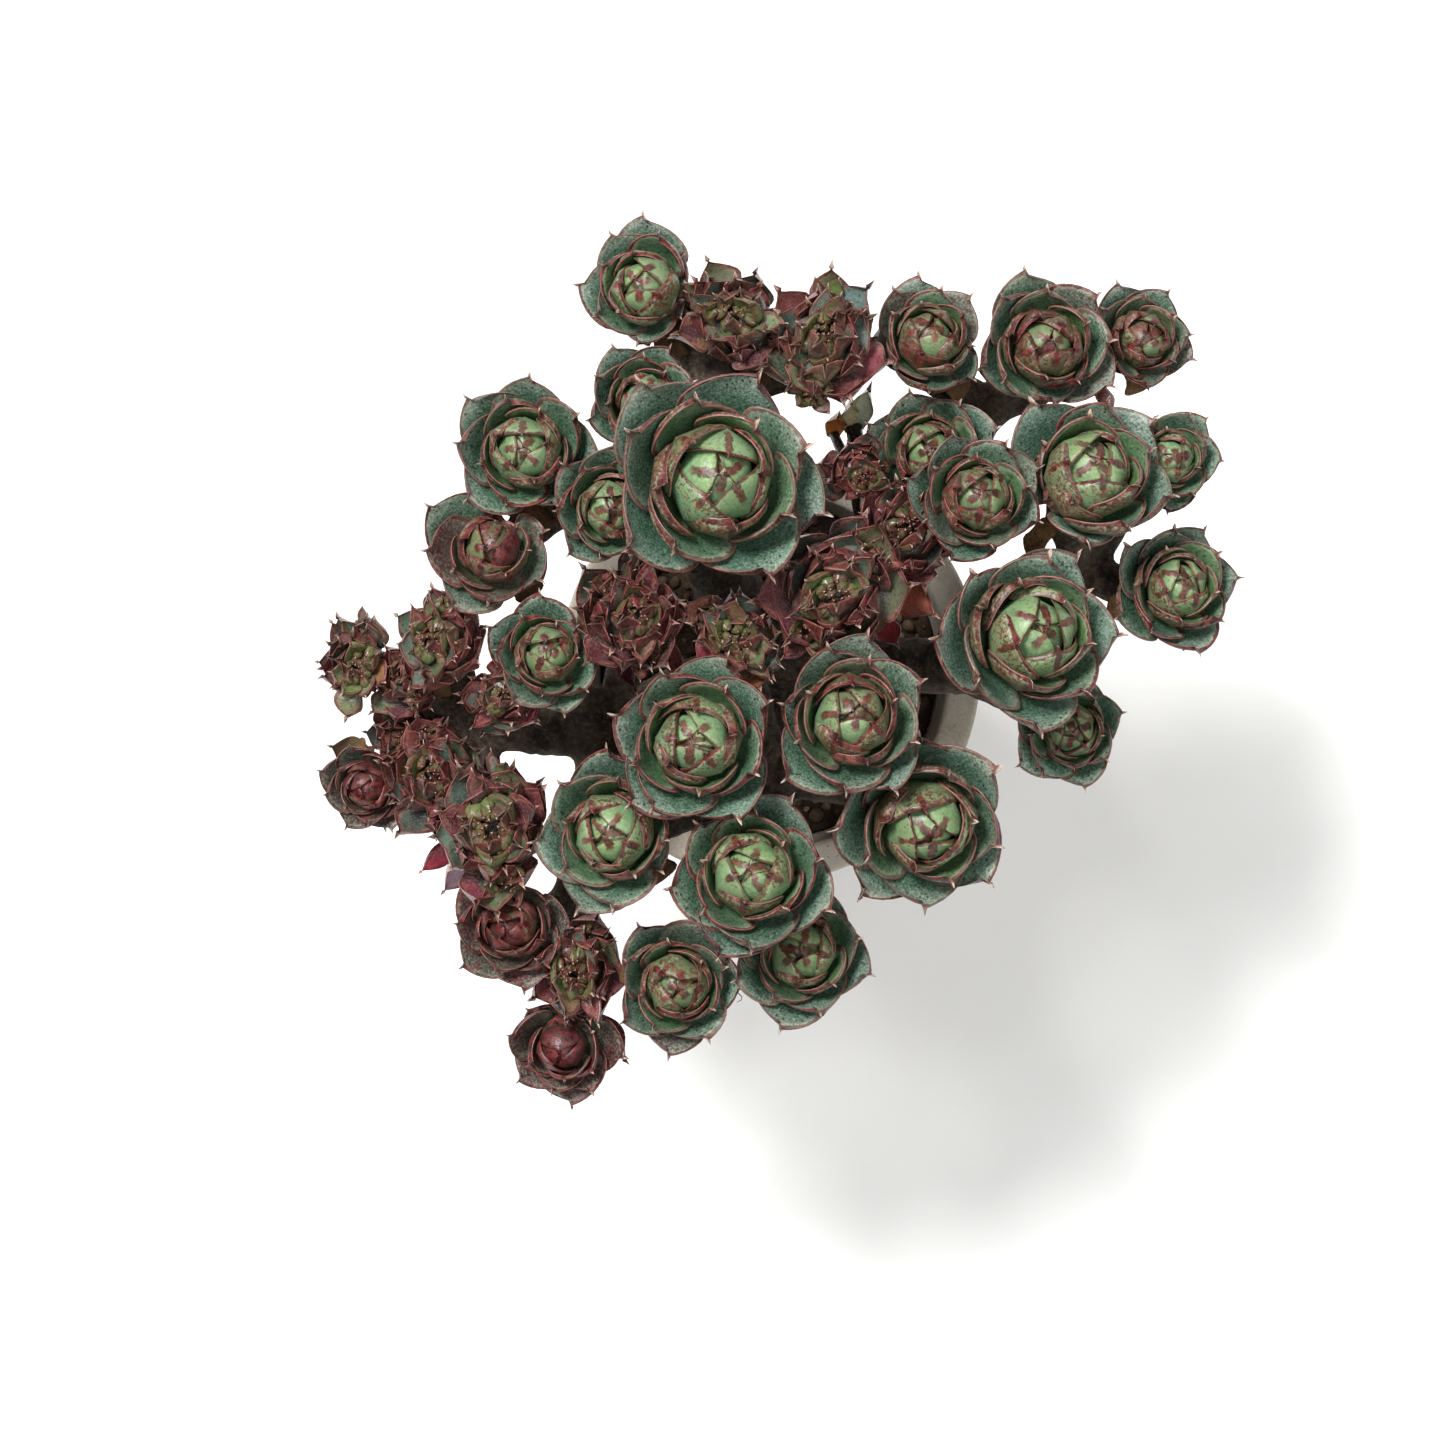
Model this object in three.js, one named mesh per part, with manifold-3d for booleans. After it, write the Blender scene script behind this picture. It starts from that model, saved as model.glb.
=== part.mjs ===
// A crested echeveria longissima in a plain clay pot. Millimetres, +Z up, origin at the middle of the pot's foot.
// The plant is one grown stem with forty-two heads: rosettes of broad cupped leaves, and crests of narrow ones.
import * as THREE from "three";
import { mergeVertices } from "three/addons/utils/BufferGeometryUtils.js";
import Module from "manifold-3d";

const wasm = await Module();
wasm.setup();

// Pot: a turned clay cup with a rim band, a drainage hole and a flat foot
const POT_HEIGHT = 68;
const POT_FOOT_RADIUS = 23;
const POT_RIM_RADIUS = 31.5;
const POT_WALL = 4;
const POT_FLOOR = 5;
const RIM_BAND_HEIGHT = 13;
const RIM_BAND_DEPTH = 2.4;
const DRAIN_RADIUS = 5;
const POT_EDGE_ROUND = 1;
const POT_SIDES = 24;

// Soil: fills the pot, with a plain hole for the trunk and grit on top
const SOIL_TOP = 60;
const SOIL_CROWN = 1.5;
const TRUNK_HOLE_DEPTH = 15;
const GRIT_COUNT = 12;
const GRIT_SIZE = 1.9;
const GRIT_SPREAD = [0.7, 1.3];
const GRIT_SHAPE = [1, 0.8, 0.6];
const GRIT_OFF_TRUNK = 4;
const GRIT_OFF_EDGE = 3;

// Where two pieces meet, this much is left between them
const SEAT_GAP = 0.3;

// Stem: a short thick trunk that fans out into limbs, and a branch from a limb to each head
const TRUNK_RADIUS = 9.5;
const TRUNK_SIDES = 9;
const TRUNK_STEPS = 2;
const TRUNK_TAPER = 0.86;
const TRUNK_COLLAR = 2;
const LIMB_SIDES = 6;
const LIMB_STEPS = 2;
const LIMB_SWELL = { foot: 1.12, tip: 0.8, lumps: 0.2 };
const LIMB_ROOT = 0.1;
const LIMB_SAG = 1.5;
const BRANCH_SIDES = 4;
const BRANCH_STEPS = 2;
const BRANCH_FOOT_RADIUS = 2.8;
const BRANCH_UPRIGHT = 0.4;
// A branch ends in its head's stalk, whose radius is a share of the head's, though never less than this
const BRANCH_TOP_SHARE = 0.24;
const BRANCH_TOP_LEAST = 1.5;
const FORK = [-1, 1, 70];
const LIMBS = {
  back: { from: "fork", end: [-10, 18, 90], radius: 5 },
  backLeft: { from: "back", end: [-27, 24, 94], radius: 3.4 },
  backFar: { from: "back", end: [-8, 38, 93], radius: 3.4 },
  right: { from: "fork", end: [16, 16, 89], radius: 4.6 },
  rightFar: { from: "right", end: [31, 37, 88], radius: 3.3 },
  side: { from: "fork", end: [26, 0, 87], radius: 4.4 },
  sideFar: { from: "side", end: [44, 14, 88], radius: 3.2 },
  front: { from: "fork", end: [0, -16, 91], radius: 5 },
  frontFar: { from: "front", end: [-4, -34, 91], radius: 3.6 },
  left: { from: "fork", end: [-23, -9, 86], radius: 4.8 },
  leftFar: { from: "left", end: [-43, -9, 85], radius: 3.4 },
  leftFront: { from: "left", end: [-29, -34, 84], radius: 3.4 },
};

// Heads: where each stands on its branch, the radius of its outline, which way it leans (share of its height),
// and the limb that carries it
const ROSETTES = [
  { at: [-16, 51, 98], radius: 9.9, lean: [-0.3, 0.1], limb: "backFar" },
  { at: [20.5, 43, 98], radius: 9.2, lean: [0.1, 0.35], limb: "rightFar" },
  { at: [36.5, 43.5, 98], radius: 10.3, lean: [0.1, 0], limb: "rightFar" },
  { at: [50, 45, 93], radius: 7.8, lean: [0.25, 0.1], limb: "rightFar" },
  { at: [-18, 35, 105], radius: 8.2, lean: [0.1, 0.05], limb: "backFar" },
  { at: [-9.5, 24, 112], radius: 14.9, lean: [0.2, 0], limb: "back" },
  { at: [-33.5, 29, 101], radius: 10.2, lean: [-0.05, 0], limb: "backLeft" },
  { at: [-22.5, 21.5, 105], radius: 8.4, lean: [0.1, -0.1], limb: "backLeft" },
  { at: [-38, 16, 101], radius: 9.8, lean: [-0.05, 0], limb: "backLeft" },
  { at: [22, 29, 96], radius: 9.2, lean: [-0.1, 0.05], limb: "rightFar" },
  { at: [26.5, 21.5, 106], radius: 9.3, lean: [0.1, 0.15], limb: "right" },
  { at: [41, 23.5, 102], radius: 12.4, lean: [0.2, 0.35], limb: "sideFar" },
  { at: [54, 28.5, 97], radius: 7.4, lean: [0.1, 0], limb: "sideFar" },
  { at: [32, 3, 104], radius: 13.3, lean: [0.35, 0.15], limb: "side" },
  { at: [54.5, 10, 94], radius: 9.5, lean: [0.25, 0.2], limb: "sideFar" },
  { at: [40.5, -8.5, 96], radius: 8.1, lean: [0.05, -0.1], limb: "side" },
  { at: [-10, -10.5, 112], radius: 11.8, lean: [-0.1, 0.05], limb: "front" },
  { at: [9.5, -8, 112], radius: 11.3, lean: [0.05, 0.15], limb: "front" },
  { at: [19, -19, 104], radius: 12.8, lean: [0.15, -0.35], limb: "front" },
  { at: [-20.5, -22.5, 106], radius: 11.1, lean: [-0.2, 0], limb: "front" },
  { at: [-3, -29, 108], radius: 11.5, lean: [-0.05, 0.2], limb: "frontFar" },
  { at: [3.5, -39.5, 100], radius: 10, lean: [0, 0.1], limb: "frontFar" },
  { at: [-13.5, -43.5, 99], radius: 9.4, lean: [0.05, 0], limb: "frontFar" },
  { at: [-29, -51.5, 89], radius: 8.7, lean: [-0.1, -0.35], limb: "leftFront" },
  { at: [-36, -36, 93.5], radius: 8.6, lean: [-0.1, 0], limb: "leftFront" },
  { at: [-31, 1, 102], radius: 8.4, lean: [0.05, 0.15], limb: "left" },
  { at: [-57, -16, 86], radius: 6.8, lean: [-0.1, -0.25], limb: "leftFar" },
];
// A crest is longer along its ridge, which points along this angle in degrees, by this factor
const CRESTS = [
  { at: [-4.5, 46.5, 100], radius: 9.2, lean: [-0.1, 0.1], limb: "backFar", ridge: 160, stretch: 1.15 },
  { at: [6.5, 43, 102], radius: 10, lean: [0, 0.1], limb: "backFar", ridge: 80, stretch: 1.1 },
  { at: [-27, -42, 92], radius: 8.4, lean: [0, -0.1], limb: "leftFront", ridge: 80, stretch: 1.15 },
  { at: [-19.5, 6, 104], radius: 9.5, lean: [0, 0.1], limb: "left", ridge: 100, stretch: 1.05 },
  { at: [-45.5, 2.5, 96], radius: 7.8, lean: [-0.1, 0.2], limb: "leftFar", ridge: 80, stretch: 1.2 },
  { at: [-37, -4, 96], radius: 7.4, lean: [0, 0], limb: "leftFar", ridge: 20, stretch: 1.1 },
  { at: [-57.5, 0, 90], radius: 7.3, lean: [-0.2, 0.1], limb: "leftFar", ridge: 80, stretch: 1.2 },
  { at: [-47, -16, 91], radius: 8.9, lean: [-0.1, 0.1], limb: "leftFar", ridge: 100, stretch: 1.15 },
  { at: [-38.5, -23, 97], radius: 10.3, lean: [0, 0.1], limb: "leftFar", ridge: 95, stretch: 1.2 },
  { at: [8.5, 10, 107], radius: 11.2, lean: [-0.05, -0.05], limb: "right", ridge: 40, stretch: 1.05 },
  { at: [17.5, 17.5, 102.5], radius: 9.3, lean: [0.1, 0.1], limb: "right", ridge: 30, stretch: 1.1 },
  { at: [-4.5, 3.5, 106], radius: 8, lean: [0, 0.1], limb: "front", ridge: 150, stretch: 1.2 },
  { at: [11.5, 26, 104], radius: 6.2, lean: [0, 0], limb: "right", ridge: 10, stretch: 1.1 },
  { at: [-51, -2, 91], radius: 6.4, lean: [0, 0.1], limb: "leftFar", ridge: 80, stretch: 1.2 },
  { at: [-52.5, -10, 85], radius: 6.4, lean: [-0.1, 0], limb: "leftFar", ridge: 110, stretch: 1.1 },
];

// A rosette's leaf, from the closed bud (spread 0) to the outermost leaf (spread 1). Lengths are shares of the
// head's radius: how far out and how high the tip is, and which way the tip points, in degrees above outward
const SPREADS = [0, 0.2, 0.4, 0.6, 0.8, 1];
const TIP_OUT = [0.03, 0.12, 0.42, 0.69, 0.92, 1.04];
const TIP_HEIGHT = [0.95, 0.97, 0.93, 0.82, 0.68, 0.5];
const TIP_ANGLE = [175, 160, 100, 80, 60, 42];
const LEAF_WIDTHS = [0.6, 0.66, 0.78, 0.88, 0.96, 1];
const FOOT_OUT = [0.1, 0.2];
const FOOT_HEIGHT = [0.3, 0.04];
const FOOT_ANGLE = [38, 14];
const FOOT_PULL = 0.45;
const TIP_PULL = 0.34;
const LEAF_THICKNESS = 0.12;
const LEAF_THINNEST = 0.8;
// Stations along a leaf from its foot in the core, the share of its full width there, and of its thickness
const STATIONS = [0.05, 0.3, 0.64, 0.88, 1];
const STATION_WIDTHS = [0, 0.62, 1, 0.84, 0];
const STATION_THICKNESS = [0, 0.9, 1, 0.7, 0];
const OUTER_STATIONS = [0.05, 0.64, 0.88, 1];
const INNER_STATIONS = [0.05, 0.7, 1];
const INNER_SPREAD = 0.72;
const LEAF_TWIST = 0.05;
// How far round the axis half a leaf may wrap, and the least distance out at which it is bent round it
const WRAP_MOST = 1.7;
const WRAP_OUT = 0.4;

// How many leaves a rosette has from the bud out, and how many of the inner ones are left to the bud's core
const ROSETTE_LEAVES = 22;
const BUD_LEAVES = 11;
const SMALL_BUD_LEAVES = 12;
const SMALL_RADIUS = 8;
const GOLDEN_ANGLE = THREE.MathUtils.degToRad(137.508);
const ROSETTE_TURN_PLAY = 0.2;
const ROSETTE_REACH_PLAY = 0.06;
// A leaf is a ball of few sides bent to shape: three with a keel along the back, or four for the cupped outer ones
const KEELED_SIDES = 3;
const CUPPED_SIDES = 4;
const POLE = 1e-6;

// The core that a rosette's leaves stand out of: radius and height as shares of the head's radius
const ROSETTE_CORE = [[0.26, 0], [0.5, 0.3], [0.42, 0.72], [0, 0.94]];
const CREST_CORE = [[0.28, 0], [0.52, 0.32], [0, 0.72]];
const CORE_SIDES = 6;

// A crest's leaves: how many, and how their foot and tip move from the ridge's middle out to its edge
const CREST_LEAVES = 16;
const CREST_FOOT_OUT = [0, 0.36];
const CREST_FOOT_HEIGHT = [0.4, 0.2];
const CREST_TIP_OUT = [0.1, 1.04];
const CREST_TIP_HEIGHT = [1.02, 0.46];
const CREST_WIDTHS = [0.34, 0.5];
const CREST_THICKNESS = 0.2;
const CREST_WIDEST = 0.55;
const CREST_SAG = 0.1;
const CREST_STATIONS = [0, CREST_WIDEST, 1];
const CREST_FILL = 0.6;
const CREST_TURN_PLAY = 0.3;
const CREST_REACH_PLAY = 0.12;

// A leaf is shortened, in steps, until it is clear of every head that stands over it
const SHORTEN_STEP = 0.07;
const SHORTEST = 0.4;
const CLEAR = 0.5;
const UNDERSIDE = { low: 0.02, rise: 0.53, from: 0.2, power: 1.5, thickness: 0.11 };
const STALK_REACH = 16;
const NEARBY = 1.2;
// How high the tips of a head's outermost leaves stand, as a share of its radius
const OUTER_TIPS = 0.55;
// The points of a leaf that are tested: share from foot to tip, and side
const TESTED = [[1, 0], [0.9, -0.66], [0.9, 0.66], [0.68, -1], [0.68, 1], [0.68, 0], [0.34, 0]];

// What a cut leaves over is dropped while it is smaller than this, in cubic millimetres
const SCRAP = 1;

// Where each piece's stream of random draws starts
const GRIT_SEED = 404;
const STEM_SEED = 977;
const ROSETTE_SEED = 101;
const CREST_SEED = 301;
const GENERATOR = { modulus: 2 ** 32, scatter: 2654435761, start: 12345, step: 1664525, shift: 1013904223 };

const CLAY = { color: "#d3ccc0", roughness: 0.85 };
const SOIL = { color: "#3b2c22", roughness: 0.97 };
const BARK = { color: "#4a3a30", roughness: 0.93 };
const GREEN_LEAF = new THREE.Color("#5d7a5c");
const RED_LEAF = new THREE.Color("#6b2f35");
const LEAF_ROUGHNESS = 0.55;
const ROSETTE_REDNESS = 0.15;
const CREST_REDNESS = 0.8;

// One stream of random draws for each piece, so that every build is alike
function drawsFrom(seed) {
  const { modulus, scatter, start, step, shift } = GENERATOR;
  let state = (seed * scatter + start) % modulus;
  return () => {
    state = (state * step + shift) % modulus;
    return state / modulus;
  };
}

function along(values, places, x) {
  let i = 1;
  while (i < places.length - 1 && x > places[i]) i += 1;
  const share = (x - places[i - 1]) / (places[i] - places[i - 1]);
  return THREE.MathUtils.lerp(values[i - 1], values[i], share);
}

const between = ([from, to], share) => THREE.MathUtils.lerp(from, to, share);
const degrees = THREE.MathUtils.degToRad;

function solidOf(geometry) {
  geometry.deleteAttribute("normal");
  geometry.deleteAttribute("uv");
  const merged = mergeVertices(geometry);
  const mesh = new wasm.Mesh({
    numProp: 3,
    vertProperties: new Float32Array(merged.attributes.position.array),
    triVerts: new Uint32Array(merged.index.array),
  });
  const solid = new wasm.Manifold(mesh);
  if (solid.volume() < 0) throw new Error("a solid is inside out");
  return solid;
}

// Moves every vertex of a geometry by a rule that takes and returns a THREE.Vector3
function bent(geometry, rule) {
  const positions = geometry.attributes.position;
  const point = new THREE.Vector3();
  for (let i = 0; i < positions.count; i += 1) {
    point.fromBufferAttribute(positions, i);
    const moved = rule(point);
    positions.setXYZ(i, moved.x, moved.y, moved.z);
  }
  return geometry;
}

function turned(profile, sides) {
  const lathe = new THREE.LatheGeometry(profile.map(([x, y]) => new THREE.Vector2(x, y)), sides);
  return solidOf(lathe.rotateX(Math.PI / 2));
}

// One body out of many: sealed hollows are filled and loose scraps are left out
function fused(solids) {
  const bodies = wasm.Manifold.union(solids).decompose();
  bodies.sort((a, b) => b.volume() - a.volume());
  const loose = bodies.slice(1).filter((body) => body.volume() > SCRAP);
  if (loose.length > 0) throw new Error(`${loose.length} bodies stand clear of the piece they belong to`);
  return bodies[0];
}

function meshOf(name, solid, material) {
  const { vertProperties, triVerts, numProp } = solid.getMesh();
  const positions = new Float32Array((vertProperties.length / numProp) * 3);
  for (let i = 0; i < positions.length / 3; i += 1) {
    positions.set(vertProperties.subarray(i * numProp, i * numProp + 3), i * 3);
  }
  const geometry = new THREE.BufferGeometry();
  geometry.setAttribute("position", new THREE.BufferAttribute(positions, 3));
  geometry.setIndex(new THREE.BufferAttribute(triVerts, 1));
  geometry.computeVertexNormals();
  const mesh = new THREE.Mesh(geometry, material);
  mesh.name = name;
  return mesh;
}

// The place, axes and reach of a head, worked out once from its row
function headOf(row, name, seed, isCrest) {
  const axis = new THREE.Vector3(row.lean[0], row.lean[1], 1).normalize();
  const right = new THREE.Vector3(1, 0, 0).addScaledVector(axis, -axis.x).normalize();
  const front = new THREE.Vector3().crossVectors(axis, right);
  const at = new THREE.Vector3(...row.at);
  const stalk = Math.max(BRANCH_TOP_LEAST, BRANCH_TOP_SHARE * row.radius);
  const rim = at.z + OUTER_TIPS * row.radius * axis.z;
  return { ...row, name, seed, isCrest, at, axis, right, front, stalk, rim };
}

// A point given as distance out, turn about the head's axis and height, all in the head's own frame
function inHead(head, out, turn, height) {
  return head.at
    .clone()
    .addScaledVector(head.right, out * Math.cos(turn))
    .addScaledVector(head.front, out * Math.sin(turn))
    .addScaledVector(head.axis, height);
}

// Whether a point is within the bowl of a head's outermost leaves, or in the stalk under it
function isWithin(head, point) {
  const offset = point.clone().sub(head.at);
  const height = offset.dot(head.axis);
  const out = offset.addScaledVector(head.axis, -height).length();
  if (height < 0) return height > -STALK_REACH && out < head.stalk + CLEAR;
  const share = Math.max(0, out / head.radius - UNDERSIDE.from) / (1 - UNDERSIDE.from);
  const under = UNDERSIDE.low + UNDERSIDE.rise * share ** UNDERSIDE.power - UNDERSIDE.thickness;
  return out < head.radius + CLEAR && height > under * head.radius - CLEAR;
}

// The middle line of a rosette's leaf, in the plane through the head's axis: x is out, y is up
function leafLine(radius, spread, reach) {
  const foot = new THREE.Vector2(between(FOOT_OUT, spread), between(FOOT_HEIGHT, spread));
  const tip = new THREE.Vector2(along(TIP_OUT, SPREADS, spread), along(TIP_HEIGHT, SPREADS, spread));
  tip.lerpVectors(foot, tip, reach);
  const footAngle = degrees(between(FOOT_ANGLE, spread));
  const tipAngle = degrees(along(TIP_ANGLE, SPREADS, spread));
  const first = new THREE.Vector2(Math.cos(footAngle), Math.sin(footAngle)).multiplyScalar(FOOT_PULL * reach);
  const second = new THREE.Vector2(Math.cos(tipAngle), Math.sin(tipAngle)).multiplyScalar(-TIP_PULL * reach);
  return new THREE.CubicBezierCurve(
    foot.clone().multiplyScalar(radius),
    foot.clone().add(first).multiplyScalar(radius),
    tip.clone().add(second).multiplyScalar(radius),
    tip.clone().multiplyScalar(radius),
  );
}

// A point of a rosette's leaf: share from foot to tip, side from -1 to 1 across it, face from -1 (inner) to 1
function leafPoint(head, leaf, share, side, face) {
  const line = leafLine(head.radius, leaf.spread, leaf.reach);
  const middle = line.getPoint(share);
  const outward = line.getTangent(share);
  const width = along(LEAF_WIDTHS, SPREADS, leaf.spread) * along(STATION_WIDTHS, STATIONS, share);
  const half = 0.5 * width * head.radius * leaf.reach;
  const wrap = Math.min(WRAP_MOST, half / Math.max(middle.x, WRAP_OUT * head.radius * leaf.reach));
  const full = Math.max(LEAF_THINNEST, LEAF_THICKNESS * head.radius);
  const thickness = 0.5 * full * along(STATION_THICKNESS, STATIONS, share);
  const out = middle.x * (1 + LEAF_TWIST * side) + outward.y * thickness * face;
  const height = middle.y - outward.x * thickness * face;
  return inHead(head, out, leaf.turn + wrap * side, height);
}

function isLeafClear(head, leaf, pointOf, over) {
  return TESTED.every(([share, side]) => {
    const point = pointOf(head, leaf, share, side, 0);
    return !over.some((other) => isWithin(other, point));
  });
}

function shortened(head, leaf, pointOf, over) {
  while (leaf.reach > SHORTEST && !isLeafClear(head, leaf, pointOf, over)) leaf.reach -= SHORTEN_STEP;
  return leaf;
}

function rosetteLeaves(head, over) {
  const draw = drawsFrom(head.seed);
  const phase = draw() * 2 * Math.PI;
  const leaves = [];
  for (let i = 0; i < ROSETTE_LEAVES; i += 1) {
    const spread = i / (ROSETTE_LEAVES - 1);
    const turn = phase + i * GOLDEN_ANGLE + (draw() - 0.5) * ROSETTE_TURN_PLAY;
    const reach = 1 - ROSETTE_REACH_PLAY * draw();
    leaves.push(shortened(head, { spread, turn, reach }, leafPoint, over));
  }
  return leaves;
}

function leafSolid(head, leaf, pointOf, stations, sides) {
  const rings = stations.length - 1;
  const ball = new THREE.SphereGeometry(1, sides, rings);
  // with three sides, one edge is the keel along the leaf's back
  if (sides === KEELED_SIDES) ball.rotateY(Math.PI / 2);
  return solidOf(
    bent(ball, (p) => {
      const polar = Math.acos(THREE.MathUtils.clamp(p.y, -1, 1));
      const ring = Math.round((polar / Math.PI) * rings);
      const around = Math.hypot(p.x, p.z);
      const side = around < POLE ? 0 : p.x / around;
      const face = around < POLE ? 0 : p.z / around;
      return pointOf(head, leaf, stations[rings - ring], side, face);
    }),
  );
}

function coreSolid(head, profile) {
  const closed = [[0, 0], ...profile];
  const core = new THREE.LatheGeometry(closed.map(([x, y]) => new THREE.Vector2(x, y)), CORE_SIDES);
  return solidOf(
    bent(core, (p) => {
      const turn = Math.atan2(-p.z, p.x);
      const out = Math.hypot(p.x, p.z) * head.radius * stretchAt(head, turn);
      return inHead(head, out, turn, p.y * head.radius);
    }),
  );
}

function stretchAt(head, turn) {
  if (!head.isCrest) return 1;
  const ridge = Math.cos(turn - degrees(head.ridge)) ** 2;
  return THREE.MathUtils.lerp(1 / head.stretch, head.stretch, ridge);
}

// A point of a crest's leaf: narrow, keeled and pointed, standing out of the ridge
function crestPoint(head, leaf, share, side, face) {
  const stretch = stretchAt(head, leaf.turn);
  const foot = new THREE.Vector2(between(CREST_FOOT_OUT, leaf.spread), between(CREST_FOOT_HEIGHT, leaf.spread));
  const tip = new THREE.Vector2(between(CREST_TIP_OUT, leaf.spread), between(CREST_TIP_HEIGHT, leaf.spread));
  tip.lerpVectors(foot, tip, leaf.reach);
  const run = tip.clone().sub(foot);
  const lean = run.clone().normalize();
  const taper = share < CREST_WIDEST ? share / CREST_WIDEST : (1 - share) / (1 - CREST_WIDEST);
  const half = 0.5 * between(CREST_WIDTHS, leaf.spread) * taper * leaf.reach;
  const thick = 0.5 * CREST_THICKNESS * taper * leaf.reach * face;
  const sag = CREST_SAG * leaf.spread * Math.sin(Math.PI * share);
  const out = (foot.x + run.x * share + lean.y * (thick + sag)) * stretch;
  const height = foot.y + run.y * share - lean.x * (thick + sag);
  const across = new THREE.Vector3()
    .addScaledVector(head.right, -Math.sin(leaf.turn))
    .addScaledVector(head.front, Math.cos(leaf.turn));
  const middle = inHead(head, out * head.radius, leaf.turn, height * head.radius);
  return middle.addScaledVector(across, half * head.radius * side);
}

function crestLeaves(head, over) {
  const draw = drawsFrom(head.seed);
  const phase = draw() * 2 * Math.PI;
  const leaves = [];
  for (let i = 0; i < CREST_LEAVES; i += 1) {
    const spread = ((i + 0.5) / CREST_LEAVES) ** CREST_FILL;
    const turn = phase + i * GOLDEN_ANGLE + (draw() - 0.5) * CREST_TURN_PLAY;
    const reach = 1 - CREST_REACH_PLAY * draw();
    leaves.push(shortened(head, { spread, turn, reach }, crestPoint, over));
  }
  return leaves;
}

function headSolid(head, heads) {
  const over = heads.filter((other) => {
    const near = other.at.distanceTo(head.at) < NEARBY * (head.radius + other.radius) + STALK_REACH;
    return other !== head && near && other.rim > head.rim;
  });
  if (head.isCrest) {
    const leaves = crestLeaves(head, over);
    const solids = leaves.map((leaf) => leafSolid(head, leaf, crestPoint, CREST_STATIONS, KEELED_SIDES));
    return fused([coreSolid(head, CREST_CORE), ...solids]);
  }
  const skipped = head.radius < SMALL_RADIUS ? SMALL_BUD_LEAVES : BUD_LEAVES;
  const leaves = rosetteLeaves(head, over).slice(skipped);
  const solids = leaves.map((leaf) => {
    return leaf.spread < INNER_SPREAD
      ? leafSolid(head, leaf, leafPoint, INNER_STATIONS, KEELED_SIDES)
      : leafSolid(head, leaf, leafPoint, OUTER_STATIONS, CUPPED_SIDES);
  });
  return fused([coreSolid(head, ROSETTE_CORE), ...solids]);
}

// A tapered bent rod with closed ends; swell holds one factor of its radius for each ring
function rod(curve, startRadius, endRadius, sides, swell) {
  const steps = swell.length - 1;
  const straight = new THREE.CylinderGeometry(1, 1, 1, sides, steps);
  return solidOf(
    bent(straight, (p) => {
      const step = Math.round((p.y + 0.5) * steps);
      const share = step / steps;
      const radius = THREE.MathUtils.lerp(startRadius, endRadius, share) * swell[step];
      const tangent = curve.getTangent(share);
      const aside = new THREE.Vector3(1, 0, 0).addScaledVector(tangent, -tangent.x).normalize();
      const ahead = new THREE.Vector3().crossVectors(aside, tangent);
      return curve
        .getPoint(share)
        .addScaledVector(aside, p.x * radius)
        .addScaledVector(ahead, p.z * radius);
    }),
  );
}

function endOf(limb) {
  return limb === "fork" ? new THREE.Vector3(...FORK) : new THREE.Vector3(...LIMBS[limb].end);
}

function branchCurve(head) {
  const start = endOf(head.limb);
  const end = head.at.clone().addScaledVector(head.axis, -SEAT_GAP);
  const below = end.clone().addScaledVector(head.axis, -BRANCH_UPRIGHT * end.distanceTo(start));
  return new THREE.QuadraticBezierCurve3(start, below, end);
}

function limbSolid(limb, draw) {
  const start = endOf(limb.from);
  const end = new THREE.Vector3(...limb.end);
  const low = start.clone().lerp(end, -LIMB_ROOT);
  const middle = start.clone().lerp(end, 0.5);
  middle.z -= LIMB_SAG;
  const curve = new THREE.QuadraticBezierCurve3(low, middle, end);
  const swell = Array.from({ length: LIMB_STEPS + 1 }, () => 1 + LIMB_SWELL.lumps * (draw() - 0.5));
  return rod(curve, limb.radius * LIMB_SWELL.foot, limb.radius * LIMB_SWELL.tip, LIMB_SIDES, swell);
}

const evenly = (steps) => new Array(steps + 1).fill(1);

function stemSolid(heads) {
  const draw = drawsFrom(STEM_SEED);
  const foot = new THREE.Vector3(0, 0, SOIL_TOP + SOIL_CROWN - TRUNK_HOLE_DEPTH + SEAT_GAP);
  const collar = new THREE.Vector3(0, 0, SOIL_TOP + TRUNK_COLLAR);
  const curve = new THREE.QuadraticBezierCurve3(foot, collar, endOf("fork"));
  const trunk = rod(curve, TRUNK_RADIUS, TRUNK_RADIUS * TRUNK_TAPER, TRUNK_SIDES, evenly(TRUNK_STEPS));
  const limbs = Object.values(LIMBS).map((limb) => limbSolid(limb, draw));
  const branches = heads.map((head) => {
    return rod(branchCurve(head), BRANCH_FOOT_RADIUS, head.stalk, BRANCH_SIDES, evenly(BRANCH_STEPS));
  });
  return fused([trunk, ...limbs, ...branches]);
}

function outerRadius(height) {
  const slope = (POT_RIM_RADIUS - RIM_BAND_DEPTH - POT_FOOT_RADIUS) / (POT_HEIGHT - RIM_BAND_HEIGHT);
  return POT_FOOT_RADIUS + slope * height;
}

const innerRadius = (height) => outerRadius(height) - POT_WALL;

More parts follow.
